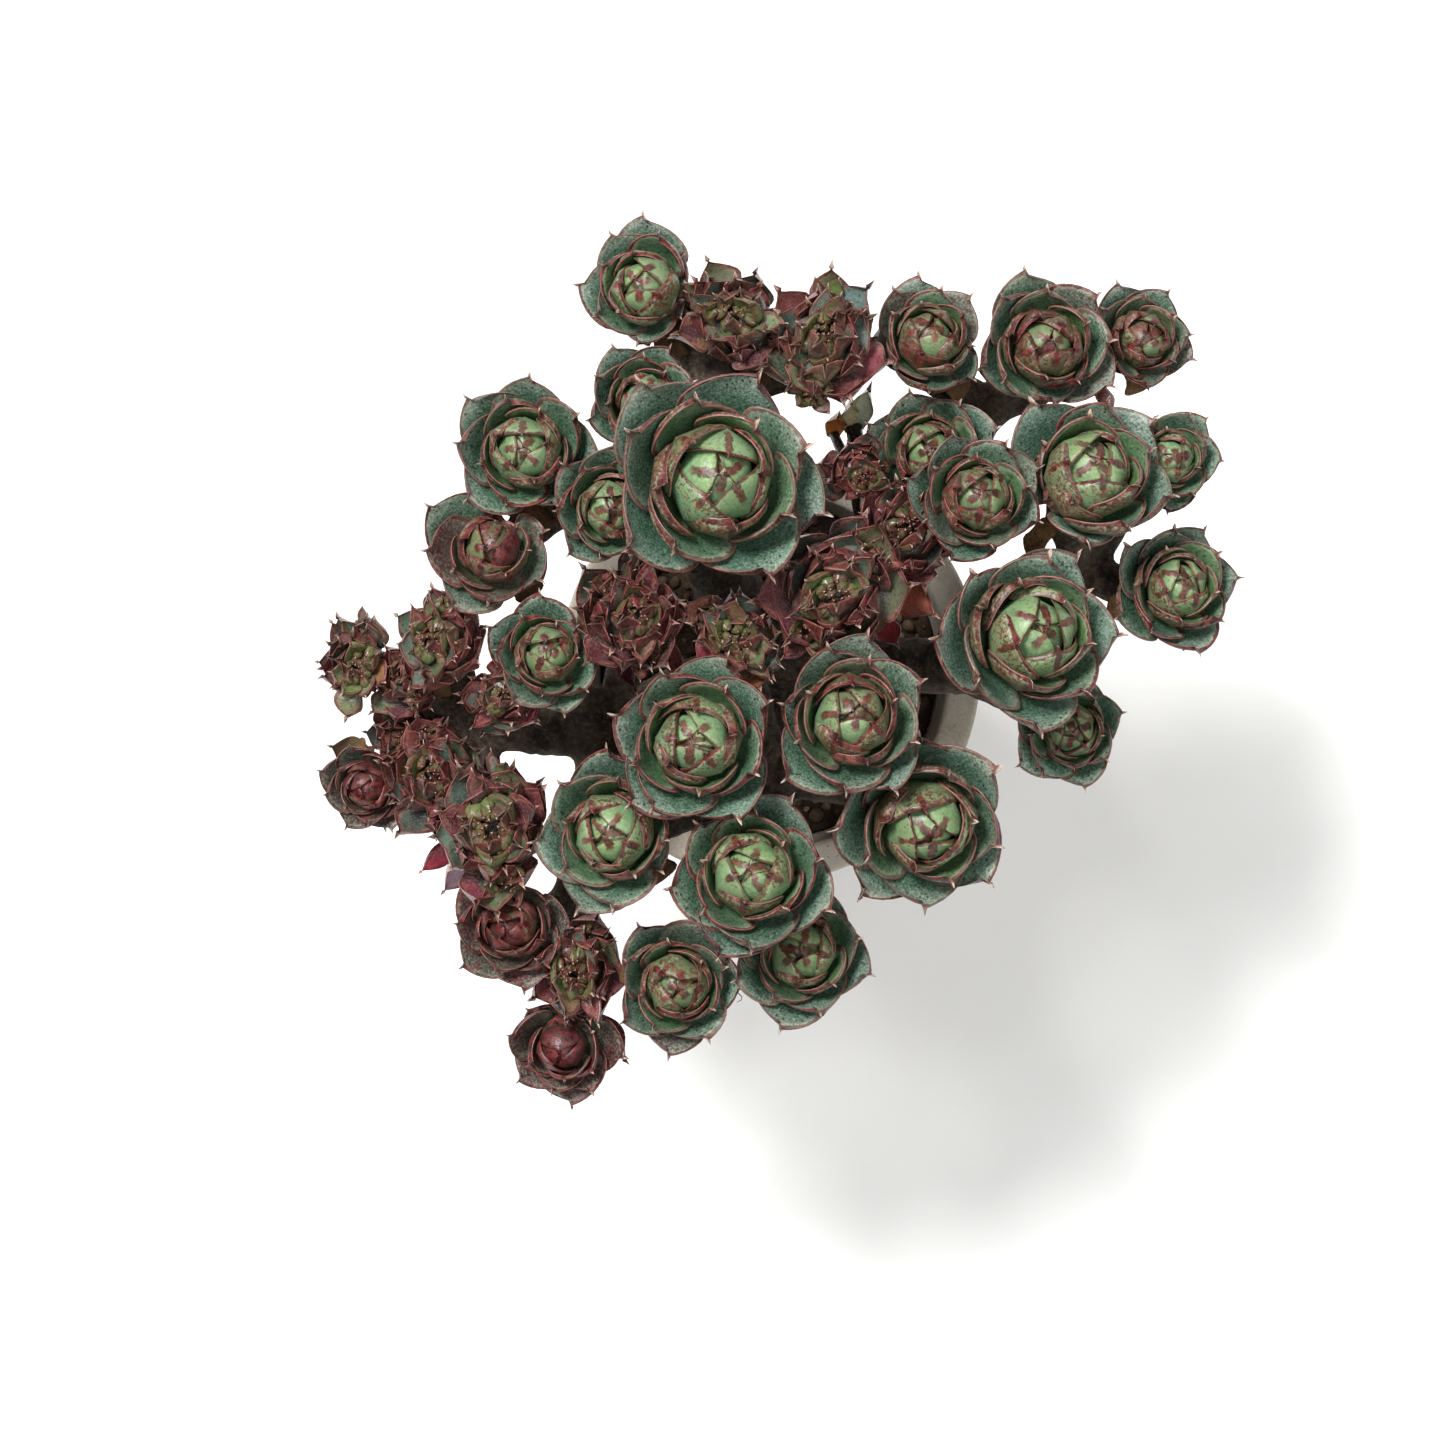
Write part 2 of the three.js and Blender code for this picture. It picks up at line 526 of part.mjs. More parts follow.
function potSolid() {
  const round = POT_EDGE_ROUND;
  const bandFoot = POT_HEIGHT - RIM_BAND_HEIGHT;
  const profile = [
    [DRAIN_RADIUS, 0],
    [POT_FOOT_RADIUS - round, 0],
    [POT_FOOT_RADIUS, round],
    [outerRadius(bandFoot), bandFoot],
    [POT_RIM_RADIUS - round / 2, bandFoot + round],
    [POT_RIM_RADIUS, POT_HEIGHT - round],
    [POT_RIM_RADIUS - round, POT_HEIGHT],
    [innerRadius(POT_HEIGHT) + round, POT_HEIGHT],
    [innerRadius(POT_HEIGHT), POT_HEIGHT - round],
    [innerRadius(POT_FLOOR), POT_FLOOR],
    [DRAIN_RADIUS, POT_FLOOR],
  ];
  return turned([...profile, profile[0]], POT_SIDES);
}

function soilSolid() {
  const floor = POT_FLOOR + SEAT_GAP;
  const edge = (height) => innerRadius(height) - SEAT_GAP;
  const body = turned(
    [[0, floor], [edge(floor), floor], [edge(SOIL_TOP), SOIL_TOP], [0, SOIL_TOP + SOIL_CROWN]],
    POT_SIDES,
  );
  const draw = drawsFrom(GRIT_SEED);
  const nearest = TRUNK_RADIUS + GRIT_OFF_TRUNK;
  const farthest = edge(SOIL_TOP) - GRIT_OFF_EDGE;
  const grit = [];
  for (let i = 0; i < GRIT_COUNT; i += 1) {
    const turn = i * GOLDEN_ANGLE;
    const out = THREE.MathUtils.lerp(nearest, farthest, Math.sqrt((i + 0.5) / GRIT_COUNT));
    const height = SOIL_TOP + SOIL_CROWN * (1 - out / edge(SOIL_TOP));
    const stone = new THREE.OctahedronGeometry(GRIT_SIZE * between(GRIT_SPREAD, draw()));
    stone.scale(...GRIT_SHAPE);
    stone.rotateZ(draw() * Math.PI);
    stone.translate(out * Math.cos(turn), out * Math.sin(turn), height);
    grit.push(solidOf(stone));
  }
  const hole = new THREE.CylinderGeometry(
    TRUNK_RADIUS + SEAT_GAP, TRUNK_RADIUS + SEAT_GAP, 2 * TRUNK_HOLE_DEPTH, TRUNK_SIDES,
  );
  hole.rotateX(Math.PI / 2);
  hole.translate(0, 0, SOIL_TOP + SOIL_CROWN);
  return fused([body, ...grit]).subtract(solidOf(hole));
}

function materialOf({ color, roughness }) {
  return new THREE.MeshStandardMaterial({ color, roughness, metalness: 0 });
}

const DIGITS = 2;
const numbered = (word, index) => `${word}_${String(index + 1).padStart(DIGITS, "0")}`;

const part = new THREE.Group();
part.name = "potted_crested_echeveria";

const heads = [
  ...ROSETTES.map((row, i) => headOf(row, numbered("rosette", i), ROSETTE_SEED + i, false)),
  ...CRESTS.map((row, i) => headOf(row, numbered("crest", i), CREST_SEED + i, true)),
];

part.add(meshOf("pot", potSolid(), materialOf(CLAY)));
part.add(meshOf("soil", soilSolid(), materialOf(SOIL)));
part.add(meshOf("stem", stemSolid(heads), materialOf(BARK)));
for (const head of heads) {
  const color = GREEN_LEAF.clone().lerp(RED_LEAF, head.isCrest ? CREST_REDNESS : ROSETTE_REDNESS);
  part.add(meshOf(head.name, headSolid(head, heads), materialOf({ color, roughness: LEAF_ROUGHNESS })));
}

export default part;
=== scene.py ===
import math
from collections import namedtuple

import bmesh
import bpy
import numpy as np
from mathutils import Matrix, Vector


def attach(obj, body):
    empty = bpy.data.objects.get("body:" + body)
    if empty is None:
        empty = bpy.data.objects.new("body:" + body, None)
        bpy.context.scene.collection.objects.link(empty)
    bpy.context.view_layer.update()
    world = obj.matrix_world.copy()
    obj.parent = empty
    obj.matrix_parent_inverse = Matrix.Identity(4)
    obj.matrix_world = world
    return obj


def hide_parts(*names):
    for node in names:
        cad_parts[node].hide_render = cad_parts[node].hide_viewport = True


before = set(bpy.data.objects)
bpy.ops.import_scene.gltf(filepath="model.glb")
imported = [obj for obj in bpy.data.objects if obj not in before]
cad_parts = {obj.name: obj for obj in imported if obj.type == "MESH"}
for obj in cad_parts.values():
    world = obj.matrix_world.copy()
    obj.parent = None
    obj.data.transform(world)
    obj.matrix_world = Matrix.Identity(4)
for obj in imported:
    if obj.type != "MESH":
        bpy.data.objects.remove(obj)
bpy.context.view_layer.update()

MM = 0.001
TURN = 2 * math.pi
GOLDEN_ANGLE = math.radians(137.508)

# The pot and its soil, as the solids have them
POT_HEIGHT = 68
POT_FOOT_RADIUS = 23
POT_RIM_RADIUS = 31.5
POT_WALL = 4
POT_FLOOR = 5
RIM_BAND_HEIGHT = 13
RIM_BAND_DEPTH = 2.4
DRAIN_RADIUS = 5
SOIL_TOP = 60
SOIL_CROWN = 1.5
TRUNK_HOLE_DEPTH = 15
SEAT_GAP = 0.3

# The stem: trunk, limbs that fan out from the fork, and a branch to each head
TRUNK_RADIUS = 9.5
TRUNK_TAPER = 0.86
TRUNK_COLLAR = 2
BRANCH_FOOT_RADIUS = 2.8
BRANCH_UPRIGHT = 0.4
STALK_SHARE = 0.24
STALK_LEAST = 1.5
LIMB_SWELL = {"foot": 1.12, "tip": 0.8}
LIMB_ROOT = 0.1
LIMB_SAG = 1.5
FORK = (-1, 1, 70)
LIMBS = {
    "back": ("fork", (-10, 18, 90), 5),
    "backLeft": ("back", (-27, 24, 94), 3.4),
    "backFar": ("back", (-8, 38, 93), 3.4),
    "right": ("fork", (16, 16, 89), 4.6),
    "rightFar": ("right", (31, 37, 88), 3.3),
    "side": ("fork", (26, 0, 87), 4.4),
    "sideFar": ("side", (44, 14, 88), 3.2),
    "front": ("fork", (0, -16, 91), 5),
    "frontFar": ("front", (-4, -34, 91), 3.6),
    "left": ("fork", (-23, -9, 86), 4.8),
    "leftFar": ("left", (-43, -9, 85), 3.4),
    "leftFront": ("left", (-29, -34, 84), 3.4),
}

# Heads: where each stands, the radius of its outline, its lean, its limb, how red and how mint its leaves are
ROSETTES = [
    ((-16, 51, 98), 9.9, (-0.3, 0.1), "backFar", 0.35, 0.5),
    ((20.5, 43, 98), 9.2, (0.1, 0.35), "rightFar", 0.65, 0.5),
    ((36.5, 43.5, 98), 10.3, (0.1, 0), "rightFar", 0.65, 0.25),
    ((50, 45, 93), 7.8, (0.25, 0.1), "rightFar", 0.65, 0.45),
    ((-18, 35, 105), 8.2, (0.1, 0.05), "backFar", 0.25, 0.7),
    ((-9.5, 24, 112), 14.9, (0.2, 0), "back", 0.35, 0.9),
    ((-33.5, 29, 101), 10.2, (-0.05, 0), "backLeft", 0.4, 0.7),
    ((-22.5, 21.5, 105), 8.4, (0.1, -0.1), "backLeft", 0.3, 0.6),
    ((-38, 16, 101), 9.8, (-0.05, 0), "backLeft", 0.85, 0.2),
    ((22, 29, 96), 9.2, (-0.1, 0.05), "rightFar", 0.4, 0.5),
    ((26.5, 21.5, 106), 9.3, (0.1, 0.15), "right", 0.6, 0.5),
    ((41, 23.5, 102), 12.4, (0.2, 0.35), "sideFar", 0.35, 0.65),
    ((54, 28.5, 97), 7.4, (0.1, 0), "sideFar", 0.25, 0.8),
    ((32, 3, 104), 13.3, (0.35, 0.15), "side", 0.3, 0.8),
    ((54.5, 10, 94), 9.5, (0.25, 0.2), "sideFar", 0.4, 0.7),
    ((40.5, -8.5, 96), 8.1, (0.05, -0.1), "side", 0.2, 0.85),
    ((-10, -10.5, 112), 11.8, (-0.1, 0.05), "front", 0.5, 0.85),
    ((9.5, -8, 112), 11.3, (0.05, 0.15), "front", 0.6, 0.6),
    ((19, -19, 104), 12.8, (0.15, -0.35), "front", 0.4, 0.65),
    ((-20.5, -22.5, 106), 11.1, (-0.2, 0), "front", 0.5, 0.7),
    ((-3, -29, 108), 11.5, (-0.05, 0.2), "frontFar", 0.35, 0.75),
    ((3.5, -39.5, 100), 10, (0, 0.1), "frontFar", 0.35, 0.6),
    ((-13.5, -43.5, 99), 9.4, (0.05, 0), "frontFar", 0.65, 0.5),
    ((-29, -51.5, 89), 8.7, (-0.1, -0.35), "leftFront", 1, 0),
    ((-36, -36, 93.5), 8.6, (-0.1, 0), "leftFront", 0.95, 0),
    ((-31, 1, 102), 8.4, (0.05, 0.15), "left", 0.55, 0.45),
    ((-57, -16, 86), 6.8, (-0.1, -0.25), "leftFar", 0.95, 0.1),
]
# A crest's row ends with the angle of its ridge in degrees, its stretch that way, and its growing centres
CRESTS = [
    ((-4.5, 46.5, 100), 9.2, (-0.1, 0.1), "backFar", 0.55, 0.5, 160, 1.15, 3),
    ((6.5, 43, 102), 10, (0, 0.1), "backFar", 0.7, 0.6, 80, 1.1, 3),
    ((-27, -42, 92), 8.4, (0, -0.1), "leftFront", 0.8, 0.3, 80, 1.15, 2),
    ((-19.5, 6, 104), 9.5, (0, 0.1), "left", 0.95, 0.1, 100, 1.05, 3),
    ((-45.5, 2.5, 96), 7.8, (-0.1, 0.2), "leftFar", 0.6, 0.6, 80, 1.2, 2),
    ((-37, -4, 96), 7.4, (0, 0), "leftFar", 0.6, 0.5, 20, 1.1, 2),
    ((-57.5, 0, 90), 7.3, (-0.2, 0.1), "leftFar", 0.6, 0.4, 80, 1.2, 2),
    ((-47, -16, 91), 8.9, (-0.1, 0.1), "leftFar", 0.85, 0.3, 100, 1.15, 2),
    ((-38.5, -23, 97), 10.3, (0, 0.1), "leftFar", 0.7, 0.5, 95, 1.2, 3),
    ((8.5, 10, 107), 11.2, (-0.05, -0.05), "right", 0.85, 0.6, 40, 1.05, 3),
    ((17.5, 17.5, 102.5), 9.3, (0.1, 0.1), "right", 0.95, 0.3, 30, 1.1, 2),
    ((-4.5, 3.5, 106), 8, (0, 0.1), "front", 0.5, 0.6, 150, 1.2, 2),
    ((11.5, 26, 104), 6.2, (0, 0), "right", 0.9, 0.1, 10, 1.1, 1),
    ((-51, -2, 91), 6.4, (0, 0.1), "leftFar", 0.65, 0.4, 80, 1.2, 1),
    ((-52.5, -10, 85), 6.4, (-0.1, 0), "leftFar", 0.75, 0.2, 110, 1.1, 1),
]

# A rosette's leaf, from the closed bud (spread 0) to the outermost leaf (spread 1), as the solids have it
SPREADS = [0, 0.2, 0.4, 0.6, 0.8, 1]
TIP_OUT = [0.03, 0.12, 0.42, 0.69, 0.92, 1.04]
TIP_HEIGHT = [0.95, 0.97, 0.93, 0.82, 0.68, 0.5]
TIP_ANGLE = [175, 160, 100, 80, 60, 42]
LEAF_WIDTHS = [0.6, 0.66, 0.78, 0.88, 0.96, 1]
FOOT_OUT = (0.1, 0.2)
FOOT_HEIGHT = (0.3, 0.04)
FOOT_ANGLE = (38, 14)
FOOT_PULL = 0.45
TIP_PULL = 0.34
LEAF_THICKNESS = 0.12
LEAF_THINNEST = 0.8
STATIONS = [0.05, 0.3, 0.64, 0.88, 1]
STATION_WIDTHS = [0, 0.62, 1, 0.84, 0]
LEAF_TWIST = 0.05
WRAP_MOST = 1.7
WRAP_OUT = 0.4
DOME_SPREADS = (0.2, 0.45)
ROSETTE_LEAVES = 22
ROSETTE_TURN_PLAY = 0.2
ROSETTE_REACH_PLAY = 0.06

# A crest's outer leaves, as the solids have them
CREST_LEAVES = 16
CREST_FOOT_OUT = (0, 0.36)
CREST_FOOT_HEIGHT = (0.4, 0.2)
CREST_TIP_OUT = (0.1, 1.04)
CREST_TIP_HEIGHT = (1.02, 0.46)
CREST_WIDTHS = (0.34, 0.5)
CREST_WIDEST = 0.55
CREST_SAG = 0.1
CREST_FILL = 0.6
CREST_TURN_PLAY = 0.3
CREST_REACH_PLAY = 0.12

# Where a head keeps others' leaves out, and how those are shortened
SHORTEN_STEP = 0.07
SHORTEST = 0.4
CLEAR = 0.5
UNDER_LOW, UNDER_RISE, UNDER_FROM, UNDER_POWER, UNDER_THICKNESS = 0.02, 0.53, 0.2, 1.5, 0.11
STALK_REACH = 16
NEARBY = 1.2
OUTER_TIPS = 0.55
TESTED = np.array([[1, 0], [0.9, -0.66], [0.9, 0.66], [0.68, -1], [0.68, 1], [0.68, 0], [0.34, 0]])

ROSETTE_SEED = 101
CREST_SEED = 301
DETAIL_SEED = 7000
MODULUS, SCATTER, START, STEP, SHIFT = 2**32, 2654435761, 12345, 1664525, 1013904223

# The fine leaf's mesh: its stations from foot to tip, the places round its section in degrees, and the sharp
# point that stands beyond its tip, as lengths and widths in shares of the head's radius
LeafMesh = namedtuple("LeafMesh", "shares around beyond beyond_widths end")
ROSETTE_MESH = LeafMesh(
    shares=[0.07, 0.14, 0.22, 0.32, 0.42, 0.52, 0.61, 0.69, 0.76, 0.83, 0.885, 0.93, 0.965, 1],
    around=[0, 9, 24, 45, 68, 90, 112, 135, 156, 171, 180, 189, 204, 225, 248, 270, 292, 315, 336, 351],
    beyond=[0.02, 0.05, 0.08],
    beyond_widths=[0.034, 0.02, 0.01],
    end=0.105,
)
CREST_MESH = LeafMesh(
    shares=[0.07, 0.2, 0.33, 0.46, 0.58, 0.7, 0.8, 0.88, 0.95, 1],
    around=[0, 12, 40, 66, 90, 114, 140, 168, 180, 196, 235, 270, 305, 344],
    beyond=[0.03, 0.08],
    beyond_widths=[0.042, 0.018],
    end=0.135,
)
DOME_MESH = LeafMesh(
    shares=[0.1, 0.35, 0.6, 0.8, 0.93, 1],
    around=[0, 30, 90, 150, 180, 225, 270, 315],
    beyond=[0.04],
    beyond_widths=[0.03],
    end=0.1,
)
FOOT_POWER = 1.3
TIP_WIDTH = 0.035
THICK_SHARES = [0.05, 0.3, 0.6, 0.85, 1, 1.05]
THICKNESSES = [0.9, 1, 0.95, 0.74, 0.48, 0.2]
RIM_THICKNESS = 0.66
RIM_FULLNESS = 0.75
INNER_FULLNESS = 0.45
OUTER_FULLNESS = 1.1
KEEL_RISE = 0.35
KEEL_SPAN = 0.16
POINT_TURN = 0.9
MARK_UNIT = 14
EDGE_WAVE = 0.035
EDGE_WAVES = (6, 12)
RIPPLE = 0.014
RIPPLES = (4, 7)
TIP_FLESH = 0.02
POINT_THICKNESS = 1.2
KEEL_SHARES = (0.3, 0.8)
OPENING_SHARES = (0.3, 0.85)
FOOT_BELOW = 0.02
# The look of each kind of leaf: its mesh, where its outline is widest, how wide its foot is, how it runs to
# the tip, how far its edges curl in as shares of the head's radius, and how blunt its section is
LeafLook = namedtuple("LeafLook", "mesh widest foot curve curl blunt")
ROSETTE_LOOK = LeafLook(ROSETTE_MESH, 0.63, 0.34, (2.2, 0.85), (-0.02, 0.05), 3.4)
BUD_LOOK = LeafLook(ROSETTE_MESH, 0.66, 0.34, (2.2, 0.62), (-0.02, 0.02), 3.4)
INNERMOST_LOOK = LeafLook(CREST_MESH, 0.66, 0.34, (2.2, 0.62), (0, 0.03), 3.4)
CREST_LOOK = LeafLook(CREST_MESH, 0.48, 0.5, (1.7, 1.05), (0.04, 0.18), 2.1)
CENTRE_LOOK = LeafLook(CREST_MESH, 0.55, 0.5, (1.8, 0.95), (0.02, 0.1), 2.5)
DOME_LOOK = LeafLook(DOME_MESH, 0.6, 0.6, (1.9, 0.75), (0.02, 0.08), 2)
BUD_UNTIL = 0.24
BUD_POINT = 0.35
BUD_POINT_SPREADS = (0.15, 0.4)
BUD_MARKING = 1.35
BUD_MARKING_SPREADS = (0.15, 0.35)
ROSETTE_SPREADING = [1, 1.02, 1.02, 1.06, 1.16, 1.2]
ROSETTE_SLIMMER = 0.45
SLIMMER_SPREADS = (0.05, 0.4)
POINTING_SPREADS = (0.25, 0.5)
CREST_MARKING = (0.3, 0.75)
CREST_MARKING_AGES = (0.1, 0.5)
BUD_SHRINK = (0.86, 0.22)
BUD_CLOSING = (0.09, 0.2)
INNERMOST = [0.84, 0.79, 0.74, 0.69]
# How far fine leaves veer and roll, in radians either way, in the bud and outside
LOOSE_SPREADS = (0.25, 0.7)
ROSETTE_VEER = (0.02, 0.09)
ROSETTE_ROLL = (0.01, 0.1)
CREST_VEER = 0.22
CREST_ROLL = 0.3

# A crest's leaves: the solids' ones made fine, a few between them, and the growing centres on its ridge, each
# a ring of cupped leaves round a dome of small ones. A pair of counts is for a large and for a smaller centre
CREST_SPREADING = (0.56, 0.74)
CREST_THICKNESS = 0.23
CREST_BOW = (0.08, 0.24)
OUTER_AGES = (0.35, 1)
BETWEEN_LEAVES = 9
BETWEEN_FROM, BETWEEN_RUN = 0.3, 0.6
BETWEEN_YOUNGEST, BETWEEN_AGEING = 0.2, 0.6
BETWEEN_WIDTHS = (0.5, 0.64)
BETWEEN_REACHES = (0.75, 1.05)
RING_LEAVES = (8, 5)
RING_SPREADS = (0.48, 0.92)
RING_WIDTHS = (0.82, 0.6)
RING_WIDTH_PLAY = (0.85, 1.1)
RING_REACHES = (0.85, 1.12)
RING_YOUNGEST, RING_AGEING = 0.15, 0.55
CENTRE_TURN_PLAY = 0.3
DOME_LEAVES = (15, 8)
DOME_FOOT = (0.98, 0.12)
DOME_TIP = (0.7, 0.84)
DOME_FALL = 0.3
DOME_BOW = 0.12
DOME_OLDEST = 0.4
DOME_REACHES = (0.85, 1.08)
DOME_WIDTHS = (0.3, 0.46)
DOME_INNER_WIDTH = 0.7
DOME_THICKNESS = 0.17
DOME_SHARE = 0.46
CORE_SIDES = 20
CORE_RADII = [0.2, 0.36, 0.46, 0.5, 0.46, 0.34, 0.18]
CORE_HEIGHTS = [0.02, 0.1, 0.2, 0.32, 0.44, 0.52, 0.56]
CORE_CAP = 0.2
CENTRE_RADIUS = 0.64
SIDE_RADIUS = 0.42
SIDE_OFF = 0.5
CENTRE_HEIGHT = 0.36
SIDE_FALL = 0.25
SIDE_LEAN = 0.7
SIDE_CORE = 0.6
SIDE_NEAREST = 0.32
SIDE_DRAWN_IN = 0.93
ALONG_PLAY = 0.08
ASIDE_PLAY = 0.15
RIDGE_PLAY = 25
SIZE_PLAY = (0.9, 1.12)
SIDE_STRETCH = (1.05, 1.15)
CENTRE_STRETCH = (1.15, 1.35)
OUTLINE_POINTS = 8

# Single leaves seen between the heads in the photograph: foot, tip, width and tone
STRAYS = [
    ((-9.5, 42, 87), (-12, 46, 93), 3.6, "f2ac2c"),
    ((11.5, 33, 88), (13.4, 39, 96), 3.4, "e6edd2"),
    ((11, 33, 88), (10.8, 37.4, 95), 2.8, "eedfb0"),
    ((8.5, 32.5, 87), (9.2, 35.5, 93), 3.2, "cf7a34"),
    ((46.5, 41, 84), (48.2, 36.4, 88), 2.8, "7c2c1c"),
    ((-50, -16.5, 83), (-57, -18.4, 85), 3.2, "8a4a34"),
    ((-56, -17.5, 82), (-55.2, -23, 85), 2.6, "8c2a30"),
    ((-50.5, -17.5, 82), (-53.8, -22.4, 84), 3.6, "8e3f34"),
    ((-50.4, -14, 84), (-49.8, -19.2, 87), 3.8, "5f6340"),
    ((-48.8, -17.5, 84), (-47.8, -24, 87), 3.8, "6a5a3c"),
    ((-44.5, -24.5, 88), (-49.6, -28.8, 89), 3.4, "8f2038"),
    ((-37, -24, 90), (-43.4, -27.4, 94), 5, "84404a"),
    ((-41.5, -26, 88), (-46.4, -31.6, 89), 4.6, "6a5560"),
    ((-26, -50, 85), (-20.8, -55.4, 90), 5.4, "5c2730"),
    ((-58, -12.5, 83), (-63, -11.2, 86), 4.6, "6b5a3e"),
    ((14.5, 6.5, 100), (16.8, 2.6, 103), 3.8, "84242e"),
    ((15.5, 11, 101), (21.6, 6.6, 107), 4.8, "9a4a34"),
    ((-22, 4, 98), (-19, -3.5, 101), 3.6, "6a2433"),
    ((-16, 5, 98), (-12.5, -2.5, 101), 3, "8a4642"),
]
STRAY_THICKNESS = 1.5
STRAY_BOW = 0.1
SHOOT_RADII = (1.1, 0.7)
SHOOT_SIDES = 8
SHOOT_RINGS = 8
SHOOT_SAG = 0.15
SHOOT_INTO_LEAF = 0.2
STRAY_SEED = 5300

# The stem's bark
ROD_SIDES = 20
ROD_STEP = 0.55
ROD_LEAST_STEPS = 6
SWELL, SWELLS = 0.06, (4, 9)
SCAR_EVERY = 2.3
SCAR_RISE = 0.1
SCAR_WANDER = 0.3
LUMP = 0.07
SMALL_LUMP = 0.04
STEM_SEED = 977
STEM_VOXEL = 0.65
TRUNK_FOOT_SHARE = 0.97
LINE_POINTS = 40

# Withered leaves and roots on the branches
DRY_SEED = 5100
DRY_EACH = 3
DRY_SIDES = 10
DRY_RINGS = 10
DRY_LENGTHS = (0.45, 0.75)
DRY_HEAD_MOST = 11
DRY_WIDTHS = (0.28, 0.4)
DRY_DROPS = (0.25, 0.9)
DRY_LEVELS = (0.12, 0.4)
DRY_THICKNESS = 0.12
DRY_CUP = 0.5
DRY_CRINKLE = 0.06
DRY_TONES = (0.45, 1.15)
ROOT_SEED = 5200
ROOT_COUNT = 46
ROOT_SIDES = 5
ROOT_RINGS = 12
ROOT_PLACES = (0.15, 0.8)
ROOT_LENGTHS = (3, 9)
ROOT_BEND = 0.3
ROOT_RADII = (0.14, 0.24)
ROOT_END_RADIUS = 0.05
ROOT_CLEAR = 3
ROOT_TONES = (0.3, 0.8)

# The turned pot and the soil in it
POT_SIDES = 120
POT_ROUND = 1.1
POT_STEP = 1.1
RIM_LIP = 0.4
THROWING_RINGS, RING_PITCH = 0.07, 2.1
OUT_OF_ROUND = [(0.06, 3, 0.07), (0.04, 7, -0.2)]
SOIL_SIDES = 96
SOIL_RINGS = 26
SOIL_EDGE = 0.4
SOIL_WAVES = 12
SOIL_WAVE_RATES = (0.15, 0.9)
SOIL_RELIEF = 0.11
GRIT_SEED = 4040
GRIT_STONES = 420
GRIT_SIZES = (0.45, 1.0)
LARGE_EVERY, LARGE_SIZES = 6, (1, 1.5)
GRIT_CUTS = 5
GRIT_STRETCH = (0.75, 1.2)
GRIT_RISE = 0.25
GRIT_SHADES, GRIT_ODDS = [0.5, 0.8, 1.3, 2.2], [0.3, 0.35, 0.25, 0.1]

# The camera straight above the crown, the floor and the lights, in metres and watts
CAMERA_AT = (-0.00747, -0.00747, 0.492)
CAMERA_NEAREST = 0.01
PICTURE_WIDTH = 0.192
PICTURE_DISTANCE = 0.38
FLOOR_HALF = 3.0
FLOOR_BELOW = 0.0002
LIGHTS = [("key", (-0.45, 0.5, 1.1), 0.4, 25), ("top", (0.35, -0.25, 1.3), 1.1, 10.5)]
LIT_HEIGHT = 0.08
SKY_STRENGTH = 0.21


def rgb(code):
    """A colour written as six hexadecimal digits, as linear light."""
    values = np.array([int(code[i : i + 2], 16) for i in (0, 2, 4)]) / 255
    return np.where(values <= 0.04045, values / 12.92, ((values + 0.055) / 1.055) ** 2.4)


# Colours of the leaves: young and old, face and back, then a crest's
BUD_GREEN = rgb("6b8f68")
BUD_EDGE = rgb("98aa70")
BUD_DULL = rgb("5c6340")
YOUNG_GREEN = rgb("43632e")
FACE_DEEP = rgb("21432d")
FACE_PALE = rgb("597868")
FACE_DULL = rgb("4a4f42")
FACE_MAUVE = rgb("7d6f62")
BACK_TAN = rgb("7c7452")
BACK_OLD = rgb("4f4238")
FACE_PURPLE = rgb("5a2f35")
BACK_PURPLE = rgb("541c28")
PURPLE_DEEPER = 0.35
# Dark green at a rosette leaf's foot: partly the leaf's own deeper green, partly painted shade where the
# leaves crowd together
FOOT_GREEN_AND_SHADE = rgb("2b4520")
POINT_PALE = rgb("c9a595")
POINT_RED = rgb("6e3a34")
CREST_CENTRE = rgb("62703f")
CREST_GREENS = [rgb("5d7366"), rgb("6a7350"), rgb("4c6556")]
CREST_ROSES = [rgb("7a2c34"), rgb("6b2a38"), rgb("743a2a")]
CREST_BACKS = [rgb("581e30"), rgb("2c0f19"), rgb("68302a"), rgb("5e2442"), rgb("461c2e")]
CREST_RED = rgb("6e2232")
# Near-black painted shade at the feet of crest leaves, also used on the cores between them and on the stray
# leaves' shoots
CREST_FOOT_SHADE = rgb("1f0f0c")
CREST_FLUSHES = [rgb("8a2638"), rgb("7d2634"), rgb("8a4a24")]
FLUSHED_SHARE = 0.2
GREEN_FACES = (0.3, 0.85)
GREENER_OUTSIDE = 0.15
GREEN_WORN = (0.1, 0.8)
CREST_DEEPER = 0.4
DRY_LEAF = rgb("6d5233")
STONE_TONE = rgb("6b5846")


# The rules that lay out the heads and their leaves, the same as the solids'
def draws_from(seed):
    """The same stream of draws that places the leaves of the solids."""
    state = (seed * SCATTER + START) % MODULUS
    while True:
        state = (state * STEP + SHIFT) % MODULUS
        yield state / MODULUS


def unit(vector):
    return vector / np.linalg.norm(vector, axis=-1, keepdims=True)


def between(pair, share):
    return pair[0] + (pair[1] - pair[0]) * share


def smooth(value, low, high):
    share = np.clip((value - low) / (high - low), 0, 1)
    return share * share * (3 - 2 * share)


def blend(first, second, share):
    share = np.asarray(share)[..., None]
    return first * (1 - share) + second * share


